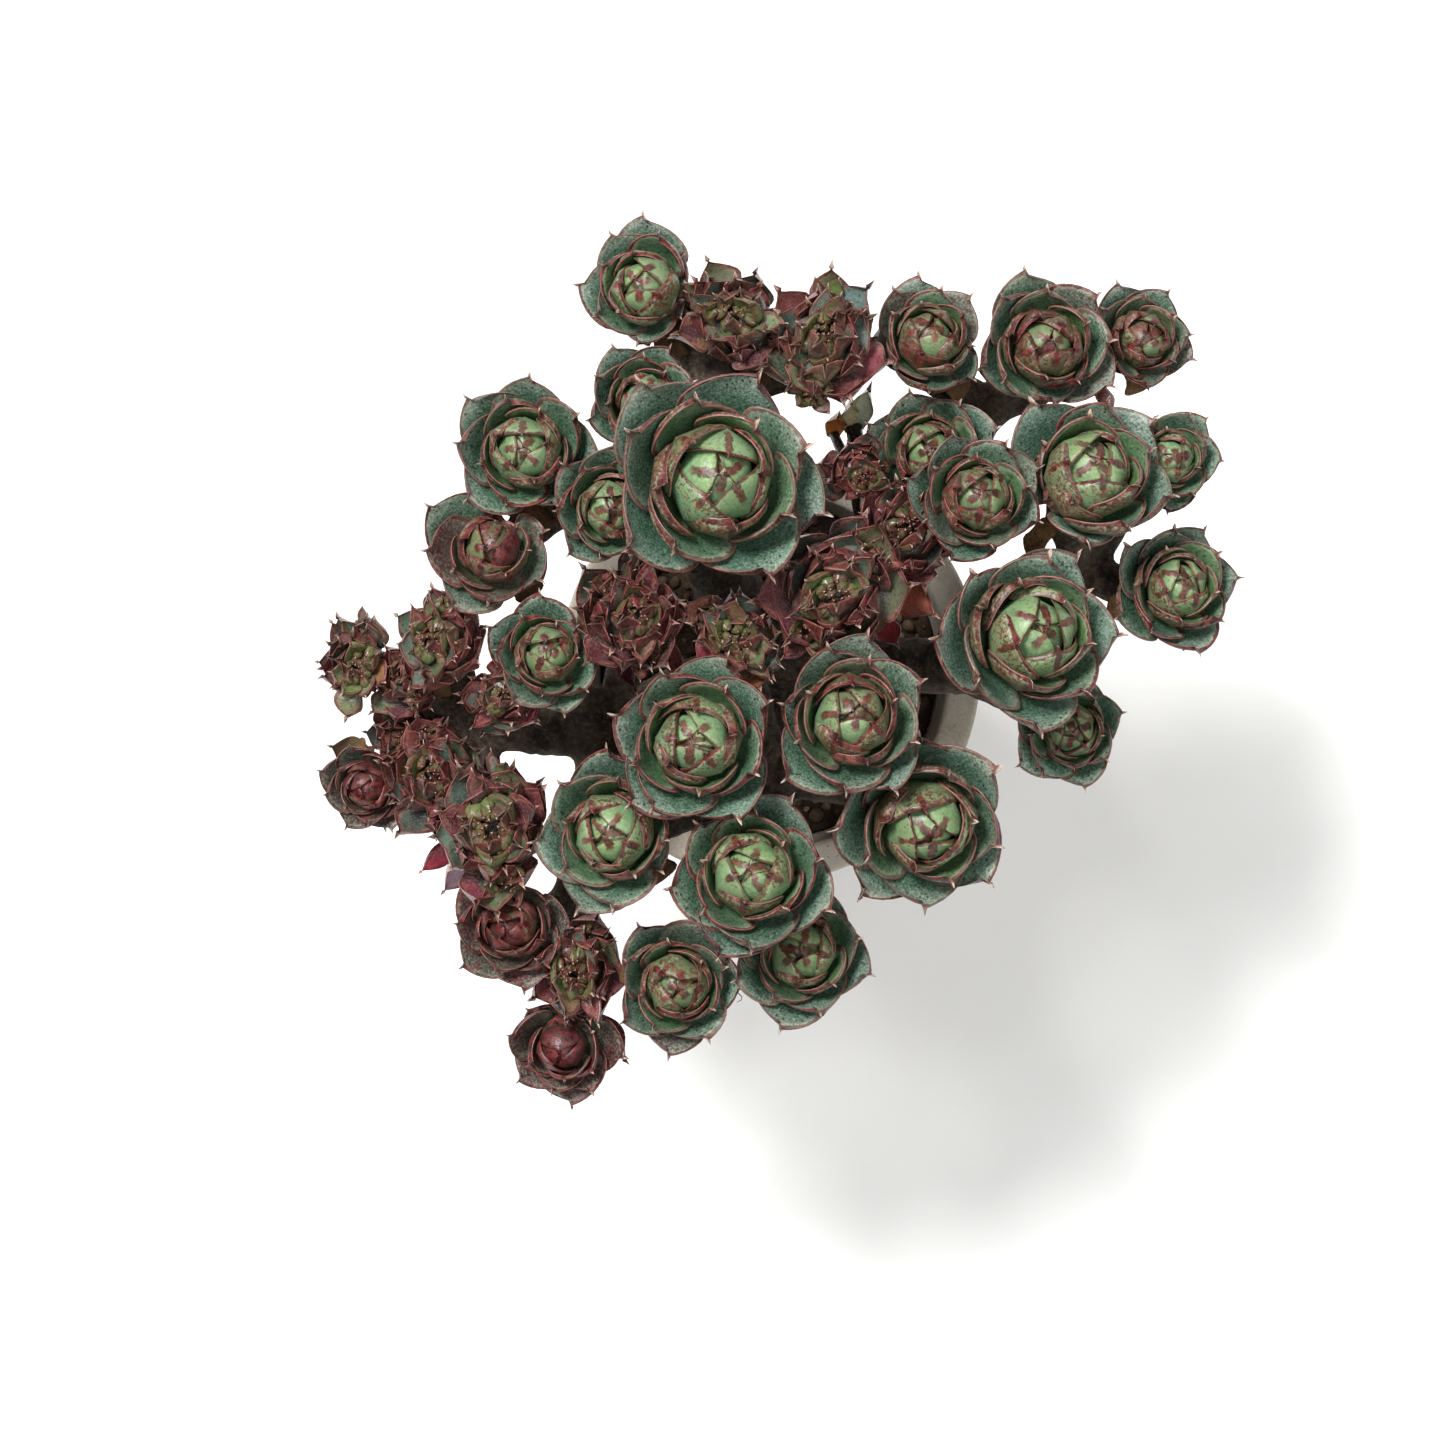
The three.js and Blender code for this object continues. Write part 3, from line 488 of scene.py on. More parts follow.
class Head:
    """The place and axes of one head."""

    def __init__(self, name, seed, at, radius, lean, limb, red, mint, ridge=0, stretch=1, centres=0):
        self.name, self.seed, self.radius, self.limb = name, seed, radius, limb
        self.red, self.mint, self.stretch, self.centres = red, mint, stretch, centres
        self.ridge = math.radians(ridge)
        self.at = np.array(at, float)
        self.axis = unit(np.array([*lean, 1.0]))
        self.right = unit(np.array([1.0, 0, 0]) - self.axis[0] * self.axis)
        self.front = np.cross(self.axis, self.right)
        self.stalk = max(STALK_LEAST, STALK_SHARE * self.radius)
        self.rim = self.at[2] + OUTER_TIPS * self.radius * self.axis[2]

    def point(self, out, turn, height):
        """Points given as distance out, turn about the axis and height."""
        across = np.multiply(out, np.cos(turn))[..., None] * self.right
        along = np.multiply(out, np.sin(turn))[..., None] * self.front
        return self.at + across + along + np.asarray(height)[..., None] * self.axis

    def drawn_out(self, points):
        """Points drawn out along the ridge, and in across it."""
        along = math.cos(self.ridge) * self.right + math.sin(self.ridge) * self.front
        across = np.cross(self.axis, along)
        offset = points - self.at
        longer = (offset @ along)[..., None] * along * (self.stretch - 1)
        return points + longer + (offset @ across)[..., None] * across * (1 / self.stretch - 1)

    def stretch_at(self, turn):
        share = np.cos(turn - self.ridge) ** 2
        return between((1 / self.stretch, self.stretch), share)

    def holds(self, points):
        """Whether each point is in the bowl of the outermost leaves, or in the stalk under it."""
        offset = points - self.at
        height = offset @ self.axis
        out = np.linalg.norm(offset - height[..., None] * self.axis, axis=-1)
        in_stalk = (height < 0) & (height > -STALK_REACH) & (out < self.stalk + CLEAR)
        share = np.maximum(0, out / self.radius - UNDER_FROM) / (1 - UNDER_FROM)
        under = UNDER_LOW + UNDER_RISE * share**UNDER_POWER - UNDER_THICKNESS
        in_bowl = (height >= 0) & (out < self.radius + CLEAR) & (height > under * self.radius - CLEAR)
        return in_stalk | in_bowl


def rosette_line(head, leaf, share):
    """The middle line of a rosette's leaf: distance out, height, and its direction."""
    spread = leaf["spread"]
    foot = np.array([between(FOOT_OUT, spread), between(FOOT_HEIGHT, spread)])
    tip = np.array([np.interp(spread, SPREADS, TIP_OUT), np.interp(spread, SPREADS, TIP_HEIGHT)])
    tip = foot + (tip - foot) * leaf["reach"] - (leaf.get("closing", 0), 0)
    foot_angle = math.radians(between(FOOT_ANGLE, spread))
    tip_angle = math.radians(np.interp(spread, SPREADS, TIP_ANGLE))
    after_foot = foot + FOOT_PULL * leaf["reach"] * np.array([math.cos(foot_angle), math.sin(foot_angle)])
    before_tip = tip - TIP_PULL * leaf["reach"] * np.array([math.cos(tip_angle), math.sin(tip_angle)])
    share = np.asarray(share, float)[..., None]
    rest = 1 - share
    middle = rest**3 * foot + 3 * rest**2 * share * after_foot
    middle = middle + 3 * rest * share**2 * before_tip + share**3 * tip
    slope = rest**2 * (after_foot - foot) + 2 * rest * share * (before_tip - after_foot)
    slope = slope + share**2 * (tip - before_tip)
    return middle * head.radius, unit(slope)


def rosette_place(head, leaf, share, side, half, lift, beyond=0):
    """Points of a rosette's leaf: side from -1 to 1 across it, lift in mm off its middle surface, outwards.
    Across, an open leaf is bent round the head's axis, and a leaf of the bud over the bud's dome."""
    middle, heading = rosette_line(head, leaf, share)
    pointing = unit(heading + POINT_TURN * smooth(leaf["spread"], *POINTING_SPREADS) * np.array([1.0, 0]))
    middle = middle + np.asarray(beyond)[..., None] * pointing
    normal = np.stack([heading[..., 1], -heading[..., 0]], -1)
    outward = unit(blend(np.array([1.0, 0]), normal, 1 - smooth(leaf["spread"], *DOME_SPREADS)))
    bend = np.maximum(middle[..., 0], WRAP_OUT * head.radius * leaf["reach"])
    wrap = np.minimum(WRAP_MOST, half / bend) * side
    radius = bend + middle[..., 0] * LEAF_TWIST * side + (normal * outward).sum(-1) * lift
    over = radius * np.cos(wrap) - bend
    level = (normal[..., 1] * outward[..., 0] - normal[..., 0] * outward[..., 1]) * lift
    level = level + leaf["roll"] * half * side
    ahead = middle[..., 0] + over * outward[..., 0] - level * outward[..., 1]
    height = middle[..., 1] + over * outward[..., 1] + level * outward[..., 0]
    turn = leaf["turn"] + leaf["veer"] * share**2
    points = head.point(ahead, turn, height) + head.point(radius * np.sin(wrap), turn + TURN / 4, 0) - head.at
    return head.drawn_out(points)


def rosette_tested(head, leaf):
    """The points of a rosette's leaf that have to stay out of other heads."""
    share, side = TESTED.T
    width = np.interp(leaf["spread"], SPREADS, LEAF_WIDTHS) * np.interp(share, STATIONS, STATION_WIDTHS)
    half = 0.5 * width * head.radius * leaf["reach"]
    return rosette_place(head, leaf, share, side, half, 0 * share)


def crest_run(spread):
    """Where a crest's leaf starts and ends, as distance out and height."""
    foot = np.array([between(CREST_FOOT_OUT, spread), between(CREST_FOOT_HEIGHT, spread)])
    return foot, np.array([between(CREST_TIP_OUT, spread), between(CREST_TIP_HEIGHT, spread)])


def crest_place(head, leaf, share, side, half, lift, beyond=0):
    """Points of a leaf that runs from a foot to a tip, with its middle bowed out."""
    share = np.asarray(share, float)
    foot, tip = leaf["run"]
    run = (tip - foot) * leaf["reach"]
    lean = unit(run)
    sag = leaf["bow"] * np.sin(math.pi * np.minimum(share, 1)) * head.radius + lift
    reach = share * head.radius + beyond / np.linalg.norm(run)
    out = (foot[0] * head.radius + run[0] * reach + lean[1] * sag) * head.stretch_at(leaf["turn"])
    height = foot[1] * head.radius + run[1] * reach - lean[0] * sag
    turn = (leaf["turn"] + leaf["veer"] * share**2)[..., None]
    radial = np.cos(turn) * head.right + np.sin(turn) * head.front
    across = np.cos(turn) * head.front - np.sin(turn) * head.right
    level = lean[1] * radial - lean[0] * head.axis
    across = math.cos(leaf["roll"]) * across + math.sin(leaf["roll"]) * level
    middle = head.at + out[..., None] * radial + height[..., None] * head.axis
    return middle + (half * side)[..., None] * across


def crest_tested(head, leaf):
    """The points of a crest's leaf that have to stay out of other heads."""
    share, side = TESTED.T
    taper = np.where(share < CREST_WIDEST, share / CREST_WIDEST, (1 - share) / (1 - CREST_WIDEST))
    half = 0.5 * between(CREST_WIDTHS, leaf["spread"]) * taper * leaf["reach"] * head.radius
    return crest_place(head, leaf, share, side, half, 0 * share)


def shortened(head, leaf, tested, over):
    """The leaf, cut back until it stays out of the heads over it."""
    while leaf["reach"] > SHORTEST and any(other.holds(tested(head, leaf)).any() for other in over):
        leaf["reach"] -= SHORTEN_STEP
    return leaf


def over_of(head, heads):
    """The heads near this one that stand over it."""
    return [
        other
        for other in heads
        if other is not head
        and other.rim > head.rim
        and np.linalg.norm(other.at - head.at) < NEARBY * (head.radius + other.radius) + STALK_REACH
    ]


def rosette_leaves(head, over):
    """The leaves of a rosette, as the solids have them."""
    draw = draws_from(head.seed)
    phase = next(draw) * TURN
    leaves = []
    for i in range(ROSETTE_LEAVES):
        turn = phase + i * GOLDEN_ANGLE + (next(draw) - 0.5) * ROSETTE_TURN_PLAY
        reach = 1 - ROSETTE_REACH_PLAY * next(draw)
        leaf = {"spread": i / (ROSETTE_LEAVES - 1), "turn": turn, "reach": reach, "veer": 0, "roll": 0}
        leaves.append(shortened(head, leaf, rosette_tested, over))
    return leaves


def crest_leaves(head, over):
    """The outer leaves of a crest, as the solids have them."""
    draw = draws_from(head.seed)
    phase = next(draw) * TURN
    leaves = []
    for i in range(CREST_LEAVES):
        turn = phase + i * GOLDEN_ANGLE + (next(draw) - 0.5) * CREST_TURN_PLAY
        reach = 1 - CREST_REACH_PLAY * next(draw)
        spread = ((i + 0.5) / CREST_LEAVES) ** CREST_FILL
        leaf = {"spread": spread, "turn": turn, "reach": reach, "veer": 0, "roll": 0}
        leaf["run"], leaf["bow"] = crest_run(spread), CREST_SAG * spread
        leaves.append(shortened(head, leaf, crest_tested, over))
    return leaves


# Meshes, and the fine leaf
class Piece:
    """Collects closed shells, and what their materials read at each vertex, and makes one mesh of them."""

    def __init__(self):
        self.points, self.faces, self.layers, self.count = [], [], {}, 0

    def add(self, points, faces, **layers):
        """Points in mm, faces as lists of rows of vertex numbers, and one value a vertex for each layer."""
        self.points.append(points)
        self.faces.extend((rows + self.count) for rows in faces)
        for name, values in layers.items():
            self.layers.setdefault(name, []).append(values)
        self.count += len(points)

    def build(self, name, material, replaced=(), rides="root"):
        mesh = bpy.data.meshes.new(name)
        points = np.concatenate(self.points) * MM
        polygons = [row for rows in self.faces for row in rows.tolist()]
        mesh.from_pydata(points.tolist(), [], polygons)
        for layer, values in self.layers.items():
            attribute = mesh.attributes.new(layer, "FLOAT_VECTOR", "POINT")
            attribute.data.foreach_set("vector", np.concatenate(values).astype(np.float32).ravel())
        mesh.shade_smooth()
        mesh.materials.append(material)
        made = bpy.data.objects.new(name, mesh)
        bpy.context.scene.collection.objects.link(made)
        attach(made, rides)
        for node in replaced:
            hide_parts(node)
        return made


def shell_faces(rings, sides):
    """Faces of a closed shell: a pole, then rings of vertices, then a pole."""
    around = np.arange(sides)
    following = (around + 1) % sides
    last = 1 + (rings - 1) * sides
    first_fan = np.stack([np.zeros(sides, int), 1 + following, 1 + around], 1)
    last_fan = np.stack([np.full(sides, last + sides), last + around, last + following], 1)
    strips = []
    for ring in range(rings - 1):
        low = 1 + ring * sides
        high = low + sides
        strips.append(np.stack([low + around, low + following, high + following, high + around], 1))
    return [first_fan, last_fan, *strips]


def shell_points(foot, rings, tip):
    return np.concatenate([foot.reshape(1, 3), rings.reshape(-1, 3), tip.reshape(1, 3)])


def section(around, bluntness):
    """One turn round a leaf's section: side from -1 to 1, and face from -1 (inner) to 1 (outer)."""
    angle = np.radians(around)
    power = 2 / bluntness
    side = np.sign(np.cos(angle)) * np.abs(np.cos(angle)) ** power
    face = np.sign(np.sin(angle)) * np.abs(np.sin(angle)) ** power
    return side, face


def outline_width(look, share):
    """How wide a leaf is at each share of its length, as a share of its full width."""
    widest, foot = look.widest, look.foot
    rise = foot + (1 - foot) * np.sin(math.pi / 2 * np.minimum(share / widest, 1)) ** FOOT_POWER
    ahead = np.clip((share - widest) / (1 - widest), 0, 1)
    power, root = look.curve
    return rise * np.maximum(0, 1 - ahead**power) ** root


def leaf_shell(piece, head, leaf, place, look, width, thickness, colours, rng):
    """Adds one fine leaf, given by a rule that places its points and a rule that gives its colours."""
    grid = look.mesh
    stations = len(grid.shares)
    side, face = section(grid.around, look.blunt)
    share = np.array(grid.shares + [1] * len(grid.beyond), float)[:, None]
    pointed = leaf.get("pointed", 1) * head.radius
    beyond = np.array([0] * stations + grid.beyond, float)[:, None] * pointed
    full = 0.5 * width * head.radius * leaf["reach"]
    half = full * outline_width(look, share)
    half[stations - 1] = TIP_WIDTH * full
    half[stations:, 0] = np.array(grid.beyond_widths) * pointed
    wave = 1 + EDGE_WAVE * np.sin(rng.uniform(*EDGE_WAVES) * share + rng.uniform(0, TURN) + side)
    thick = 0.5 * thickness * np.interp(share + beyond / head.radius, THICK_SHARES, THICKNESSES)
    fleshy = TIP_FLESH * head.radius * (beyond == 0) + half
    thick = np.minimum(thick, np.maximum(half * POINT_THICKNESS, fleshy))
    rim = RIM_THICKNESS + (1 - RIM_THICKNESS) * (1 - side**2)
    fullness = between((np.where(face > 0, OUTER_FULLNESS, INNER_FULLNESS), RIM_FULLNESS), side**4)
    keel = KEEL_RISE * np.exp(-((side / KEEL_SPAN) ** 2)) * (face > 0) * smooth(share, *KEEL_SHARES)
    lift = thick * face * (rim * fullness + keel)
    opening = smooth(share, *OPENING_SHARES)
    ripple = RIPPLE * head.radius * np.sin(rng.uniform(*RIPPLES) * side + rng.uniform(0, TURN)) * opening
    curl = rng.uniform(*look.curl) * head.radius * side**2 * opening
    points = place(head, leaf, share + 0 * side, side + 0 * share, half * wave, lift + ripple - curl,
                   beyond + 0 * side)
    ends = np.array([[grid.shares[0] - FOOT_BELOW], [1.0]])
    end_beyond = np.array([[0.0], [grid.end * pointed]])
    zero = np.zeros((2, 1))
    foot, tip = place(head, leaf, ends, zero, zero, zero, end_beyond)
    layers = colours(share + 0 * side, side + 0 * share, face + 0 * share, beyond / head.radius + 0 * side)
    marking = leaf.get("marking", 1) * MARK_UNIT
    layers["marks"] = [(1 - np.abs(side)) * half / marking, np.abs(side) * half / marking, face + 0 * share]
    layers = {name: np.stack(np.broadcast_arrays(*values), -1) for name, values in layers.items()}
    piece.add(
        shell_points(foot, points, tip),
        shell_faces(len(share), len(side)),
        **{name: shell_points(values[0, 0], values, values[-1, 0]) for name, values in layers.items()},
    )


def loosened(leaf, rng, veer, roll):
    """The leaf, turned a little at random, with the width of its marks."""
    leaf["veer"] = rng.uniform(-veer, veer)
    leaf["roll"] = rng.uniform(-roll, roll)
    leaf["marking"] = between(CREST_MARKING, smooth(leaf.get("age", 1), *CREST_MARKING_AGES))
    return leaf


# The looks of the leaves; share runs from 0 at the foot to 1 at the tip, and beyond is past it
def layers_of(skin, reds, extras):
    """What a leaf's material reads: its own colour, how far its margin, keel and mottling show, and how much
    pale rim (its own pale bevel and partly a painted highlight), bloom and specks it has."""
    return {"skin": np.moveaxis(skin, -1, 0), "reds": reds, "extras": extras}


def rosette_colours(head, leaf, rng):
    """A rosette's leaf: mint and tipped with red in the bud, teal with a red margin outside."""
    spread = leaf["spread"]
    tint = rng.uniform(0.86, 1.12) * np.array([1, rng.uniform(0.97, 1.04), rng.uniform(0.92, 1.05)])
    tint = tint * (1 - PURPLE_DEEPER * smooth(head.red, 0.8, 1))
    redder = np.clip(head.red + rng.uniform(-0.18, 0.18), 0, 1)
    maroon = smooth(redder, 0.62, 1)
    mark_from = rng.uniform(0.68, 0.84)
    mark = rng.uniform(0.85, 1)
    edging = rng.uniform(0.6, 1)
    mauve = rng.uniform(0.15, 0.75)
    old = rng.uniform(0.3, 1)
    opened = smooth(spread, 0.12, 0.42)
    outside = smooth(spread, 0.4, 0.8)

    def colours(share, side, face, beyond):
        rimness = np.maximum(np.abs(side) ** 2.5, smooth(share, 0.62, 1)) * smooth(share, 0.25, 0.6)
        bud = blend(blend(BUD_DULL, BUD_GREEN, head.mint), BUD_EDGE, 0.5 * rimness * (0.4 + 0.6 * head.mint))
        young = blend(YOUNG_GREEN, bud, 0.25)
        pale = blend(blend(FACE_DULL, FACE_PALE, 0.35 + 0.65 * head.mint), FACE_MAUVE, mauve * rimness**2)
        inner = blend(young, blend(FACE_DEEP, pale, rimness), outside)
        inner = blend(bud, inner, smooth(spread, 0.1, 0.35))
        back = blend(bud, BACK_TAN, smooth(spread, 0.25, 0.5))
        back = blend(back, BACK_OLD, old * smooth(spread, 0.5, 0.95))
        inner = blend(inner, FACE_PURPLE, 0.8 * maroon)
        back = blend(back, BACK_PURPLE, 0.95 * maroon)
        skin = blend(inner, back, smooth(face, -0.25, 0.25))
        # The foot of each leaf darkens to a deep green: partly its own colour, partly painted shade between
        # the leaves
        skin = blend(FOOT_GREEN_AND_SHADE + 0 * skin, skin, smooth(share, 0.12, 0.55))
        skin = blend(skin * tint, POINT_RED, smooth(share, 0.96, 1) * opened * (beyond < 0.03))
        skin = blend(skin, POINT_PALE, smooth(beyond, 0.02, 0.06))
        margin = smooth(share, 0.74 - 0.64 * opened, 0.9 - 0.43 * opened)
        margin = margin * edging * (beyond < 0.03)
        keel = (face > 0) * smooth(share, mark_from, mark_from + 0.06) * mark
        keel = keel * (1 - 0.5 * smooth(spread, 0.3, 0.7))
        mottle = (face > -0.2) * smooth(share, 0.35, 0.95) * (0.06 + opened * (0.3 + 0.5 * redder))
        mottle = mottle + 0.45 * smooth(redder, 0.5, 1) * smooth(share, 0.3, 0.9)
        rim = 0.7 * opened * (1 - 0.45 * outside) + 0 * share
        bloom = (0.15 + 0.85 * outside) * (0.35 + 0.65 * rimness)
        specks = (0.25 + 0.75 * opened) * smooth(share, 0.2, 0.6)
        return layers_of(skin, [margin, keel, mottle], [rim, bloom, specks])

    return colours


def crest_colours(head, leaf, rng):
    """A crest's leaf: green in the growing centres, grey-green or dark red outside."""
    age = leaf["age"]
    tint = rng.uniform(0.36, 1.5) * np.array([1, rng.uniform(0.95, 1.08), rng.uniform(0.95, 1.2)])
    tint = blend(np.ones(3), tint, smooth(age, 0.05, 0.5)) * (1 - CREST_DEEPER * smooth(head.red, 0.75, 1))
    redder = np.clip(head.red + rng.uniform(-0.45, 0.25), 0, 1)
    greener = between(GREEN_FACES, head.mint) + GREENER_OUTSIDE * smooth(age, 0.7, 0.95)
    faces = CREST_GREENS if rng.random() < greener else CREST_ROSES
    own_face = faces[rng.integers(len(faces))]
    reddest = 0.8 if faces is CREST_ROSES else 0.25
    own_back = CREST_BACKS[rng.integers(len(CREST_BACKS))]
    if faces is CREST_GREENS:
        own_back = blend(own_face, own_back, rng.uniform(*GREEN_WORN))
    flush = (rng.random() < FLUSHED_SHARE) * smooth(age, 0.4, 0.8) * 0.85
    flushed = CREST_FLUSHES[rng.integers(len(CREST_FLUSHES))]
    grown = smooth(age, 0.1, 0.6)
    reddens_from = 0.6 - 0.5 * smooth(age, 0.15, 0.55)

    def colours(share, side, face, beyond):
        edge = np.abs(side) ** 2 * smooth(share, 0.15, 0.5)
        inner = blend(own_face, CREST_RED, reddest * redder * (1 - smooth(share, 0.3, 0.75)))
        inner = blend(inner, CREST_RED, reddest * redder * np.maximum(edge, smooth(share, 0.75, 1)))
        inner = blend(CREST_CENTRE, inner, grown)
        reddened = smooth(share, reddens_from, reddens_from + 0.35)
        reddened = reddened * (0.35 + 0.65 * smooth(age + 0.3 * redder - 0.3 * head.mint, 0.15, 0.55))
        back = blend(CREST_CENTRE, own_back, reddened)
        skin = blend(blend(inner, back, smooth(face, -0.3, 0.3)), flushed, flush)
        # The lower part of each leaf darkens to near black: painted shade between the crowded leaves
        skin = blend(CREST_FOOT_SHADE + 0 * skin, skin, smooth(share, 0.1, 0.5 + 0.15 * grown))
        skin = blend(skin * tint, POINT_PALE, smooth(beyond, 0.01, 0.05))
        margin = smooth(share, 0.2, 0.6) * (0.45 + 0.05 * grown + 0.4 * redder) * (beyond < 0.03)
        keel = (face > 0) * smooth(share, 0.55, 0.8) * (0.4 + 0.6 * redder) * (1 - 0.6 * grown)
        mottle = smooth(share, 0.2, 0.7) * (0.05 + 0.25 * redder) * smooth(age, 0.05, 0.5)
        rim = 0.2 + 0.6 * grown + 0 * share
        bloom = 0.34 * grown * (1 - 0.4 * redder) + 0.14 * edge
        specks = 0.2 + 0.5 * grown + 0 * share
        return layers_of(skin, [margin, keel, mottle], [rim, bloom, specks])

    return colours


# The heads
def build_rosette(head, over):
    rng = np.random.default_rng(DETAIL_SEED + head.seed)
    piece = Piece()
    thickness = max(LEAF_THINNEST, LEAF_THICKNESS * head.radius)
    leaves = rosette_leaves(head, over)
    for leaf in leaves:
        loose = smooth(leaf["spread"], *LOOSE_SPREADS)
        loosened(leaf, rng, between(ROSETTE_VEER, loose), between(ROSETTE_ROLL, loose))
        leaf["reach"] *= between((BUD_SHRINK[0], 1), min(1, leaf["spread"] / BUD_SHRINK[1]))
        leaf["marking"] = between((BUD_MARKING, 1), smooth(leaf["spread"], *BUD_MARKING_SPREADS))
        leaf["pointed"] = between((BUD_POINT, 1), smooth(leaf["spread"], *BUD_POINT_SPREADS))
        leaf["closing"] = between((BUD_CLOSING[0], 0), min(1, leaf["spread"] / BUD_CLOSING[1]))
        width = np.interp(leaf["spread"], SPREADS, ROSETTE_SPREADING)
        slimmer = between((ROSETTE_SLIMMER, 1), smooth(leaf["spread"], *SLIMMER_SPREADS))
        look = BUD_LOOK if leaf["spread"] < BUD_UNTIL else ROSETTE_LOOK
        leaf_shell(piece, head, leaf, rosette_place, look, width, thickness * slimmer,
                   rosette_colours(head, leaf, rng), rng)
    for i, reach in enumerate(INNERMOST):
        leaf = {**leaves[0], "turn": leaves[0]["turn"] - (i + 1) * GOLDEN_ANGLE, "reach": reach}
        leaf_shell(piece, head, leaf, rosette_place, INNERMOST_LOOK, ROSETTE_SPREADING[0],
                   ROSETTE_SLIMMER * thickness, rosette_colours(head, leaf, rng), rng)
    piece.build(head.name + "_leaves", ROSETTE_SKIN, [head.name])


def build_crest(head, over):
    rng = np.random.default_rng(DETAIL_SEED + head.seed)
    piece = Piece()
    thickness = CREST_THICKNESS * head.radius
    for leaf in crest_leaves(head, over):
        leaf["age"] = between(OUTER_AGES, leaf["spread"])
        loosened(leaf, rng, CREST_VEER, CREST_ROLL)
        leaf["bow"] = leaf["spread"] * rng.uniform(*CREST_BOW)
        width = between(CREST_SPREADING, leaf["spread"])
        leaf_shell(piece, head, leaf, crest_place, CREST_LOOK, width, thickness,
                   crest_colours(head, leaf, rng), rng)
    phase = rng.uniform(0, TURN)
    for i in range(BETWEEN_LEAVES):
        spread = BETWEEN_FROM + BETWEEN_RUN * (i + 0.5) / BETWEEN_LEAVES
        leaf = {"spread": spread, "turn": phase + i * GOLDEN_ANGLE, "reach": rng.uniform(*BETWEEN_REACHES)}
        leaf["run"], leaf["bow"] = crest_run(spread), rng.uniform(*CREST_BOW)
        leaf["age"] = BETWEEN_YOUNGEST + BETWEEN_AGEING * spread
        loosened(leaf, rng, CREST_VEER, CREST_ROLL)
        shortened(head, leaf, crest_tested, over)
        leaf_shell(piece, head, leaf, crest_place, CREST_LOOK, rng.uniform(*BETWEEN_WIDTHS), thickness,
                   crest_colours(head, leaf, rng), rng)
    add_core(piece, head)
    for centre, is_side in centre_heads(head, over, rng):
        if is_side:
            add_core(piece, centre, SIDE_CORE)
        add_ring(piece, head, centre, RING_LEAVES[is_side], rng)
        add_dome(piece, head, centre, DOME_LEAVES[is_side], rng)
    piece.build(head.name + "_leaves", CREST_SKIN, [head.name])


def add_core(piece, head, rise=1):
    """The fleshy ridge that a crest's or a smaller centre's leaves stand on, coloured with the near-black
    painted shade of the leaf feet so that it shows as shade between them.
    """
    around = np.arange(CORE_SIDES) * TURN / CORE_SIDES
    heights = np.array(CORE_HEIGHTS) * head.radius * rise
    radii = np.array(CORE_RADII)[:, None] * head.radius * head.stretch_at(around)
    rings = head.point(radii, around + 0 * radii, heights[:, None] + 0 * radii)
    foot, tip = head.point(np.zeros(2), np.zeros(2), heights[[0, -1]] + (-CORE_CAP, CORE_CAP))
    count = rings.shape[0] * CORE_SIDES + 2
    layers = {"skin": CREST_FOOT_SHADE, "reds": np.zeros(3), "extras": np.zeros(3), "marks": np.ones(3)}
    piece.add(shell_points(foot, rings, tip), shell_faces(len(CORE_RADII), CORE_SIDES),
              **{name: np.tile(value, (count, 1)) for name, value in layers.items()})


def add_ring(piece, head, centre, count, rng):
    """Cupped leaves that stand round a growing centre."""
    phase = rng.uniform(0, TURN)
    for i in range(count):
        share = i / (count - 1)
        leaf = {"spread": between(RING_SPREADS, share), "age": RING_YOUNGEST + RING_AGEING * share}
        leaf["turn"] = phase + i * GOLDEN_ANGLE + rng.uniform(-CENTRE_TURN_PLAY, CENTRE_TURN_PLAY)
        leaf["reach"] = rng.uniform(*RING_REACHES)
        loosened(leaf, rng, CREST_VEER, CREST_ROLL)
        width = between(RING_WIDTHS, share) * rng.uniform(*RING_WIDTH_PLAY)
        leaf_shell(piece, centre, leaf, rosette_place, CENTRE_LOOK, width, CREST_THICKNESS * centre.radius,
                   crest_colours(head, leaf, rng), rng)


def add_dome(piece, head, centre, count, rng):
    """Small plump leaves that crowd into a dome, the tips drawn in."""
    phase = rng.uniform(0, TURN)
    for i in range(count):
        spread = math.sqrt((i + 0.5) / count)
        share = DOME_SHARE * spread
        foot = np.array([DOME_FOOT[0] * share, DOME_FOOT[1]])
        tip = np.array([DOME_TIP[0] * share, DOME_TIP[1] - DOME_FALL * spread**2])
        leaf = {"run": (foot, tip), "bow": DOME_BOW * spread, "age": DOME_OLDEST * rng.uniform(0, spread)}
        leaf["turn"] = phase + i * GOLDEN_ANGLE + rng.uniform(-CENTRE_TURN_PLAY, CENTRE_TURN_PLAY)
        leaf["reach"] = rng.uniform(*DOME_REACHES)
        loosened(leaf, rng, CREST_VEER, CREST_ROLL)
        width = rng.uniform(*DOME_WIDTHS) * between((DOME_INNER_WIDTH, 1), spread)
        leaf_shell(piece, centre, leaf, crest_place, DOME_LOOK, width, DOME_THICKNESS * centre.radius,
                   crest_colours(head, leaf, rng), rng)


def stray_colours(tone, rng):
    """A single leaf: one tone, darker on its back, with painted shade at its foot."""
    mottled = rng.uniform(0.05, 0.2)

    def colours(share, side, face, beyond):
        skin = tone * blend(np.array([1.0]), np.array([0.8]), smooth(face, -0.3, 0.3))
        # Painted shade: the leaf darkens to a third of its tone at its foot
        skin = blend(0.3 * skin, skin, smooth(share, 0.02, 0.3))
        skin = blend(skin, POINT_PALE, smooth(beyond, 0.01, 0.05))
        margin = 0.5 * smooth(share, 0.3, 0.7) * (beyond < 0.03)
        mottle = mottled * smooth(share, 0.2, 0.7)
        return layers_of(skin, [margin, 0, mottle], [0.3 + 0 * share, 0.1, 0.2])

    return colours


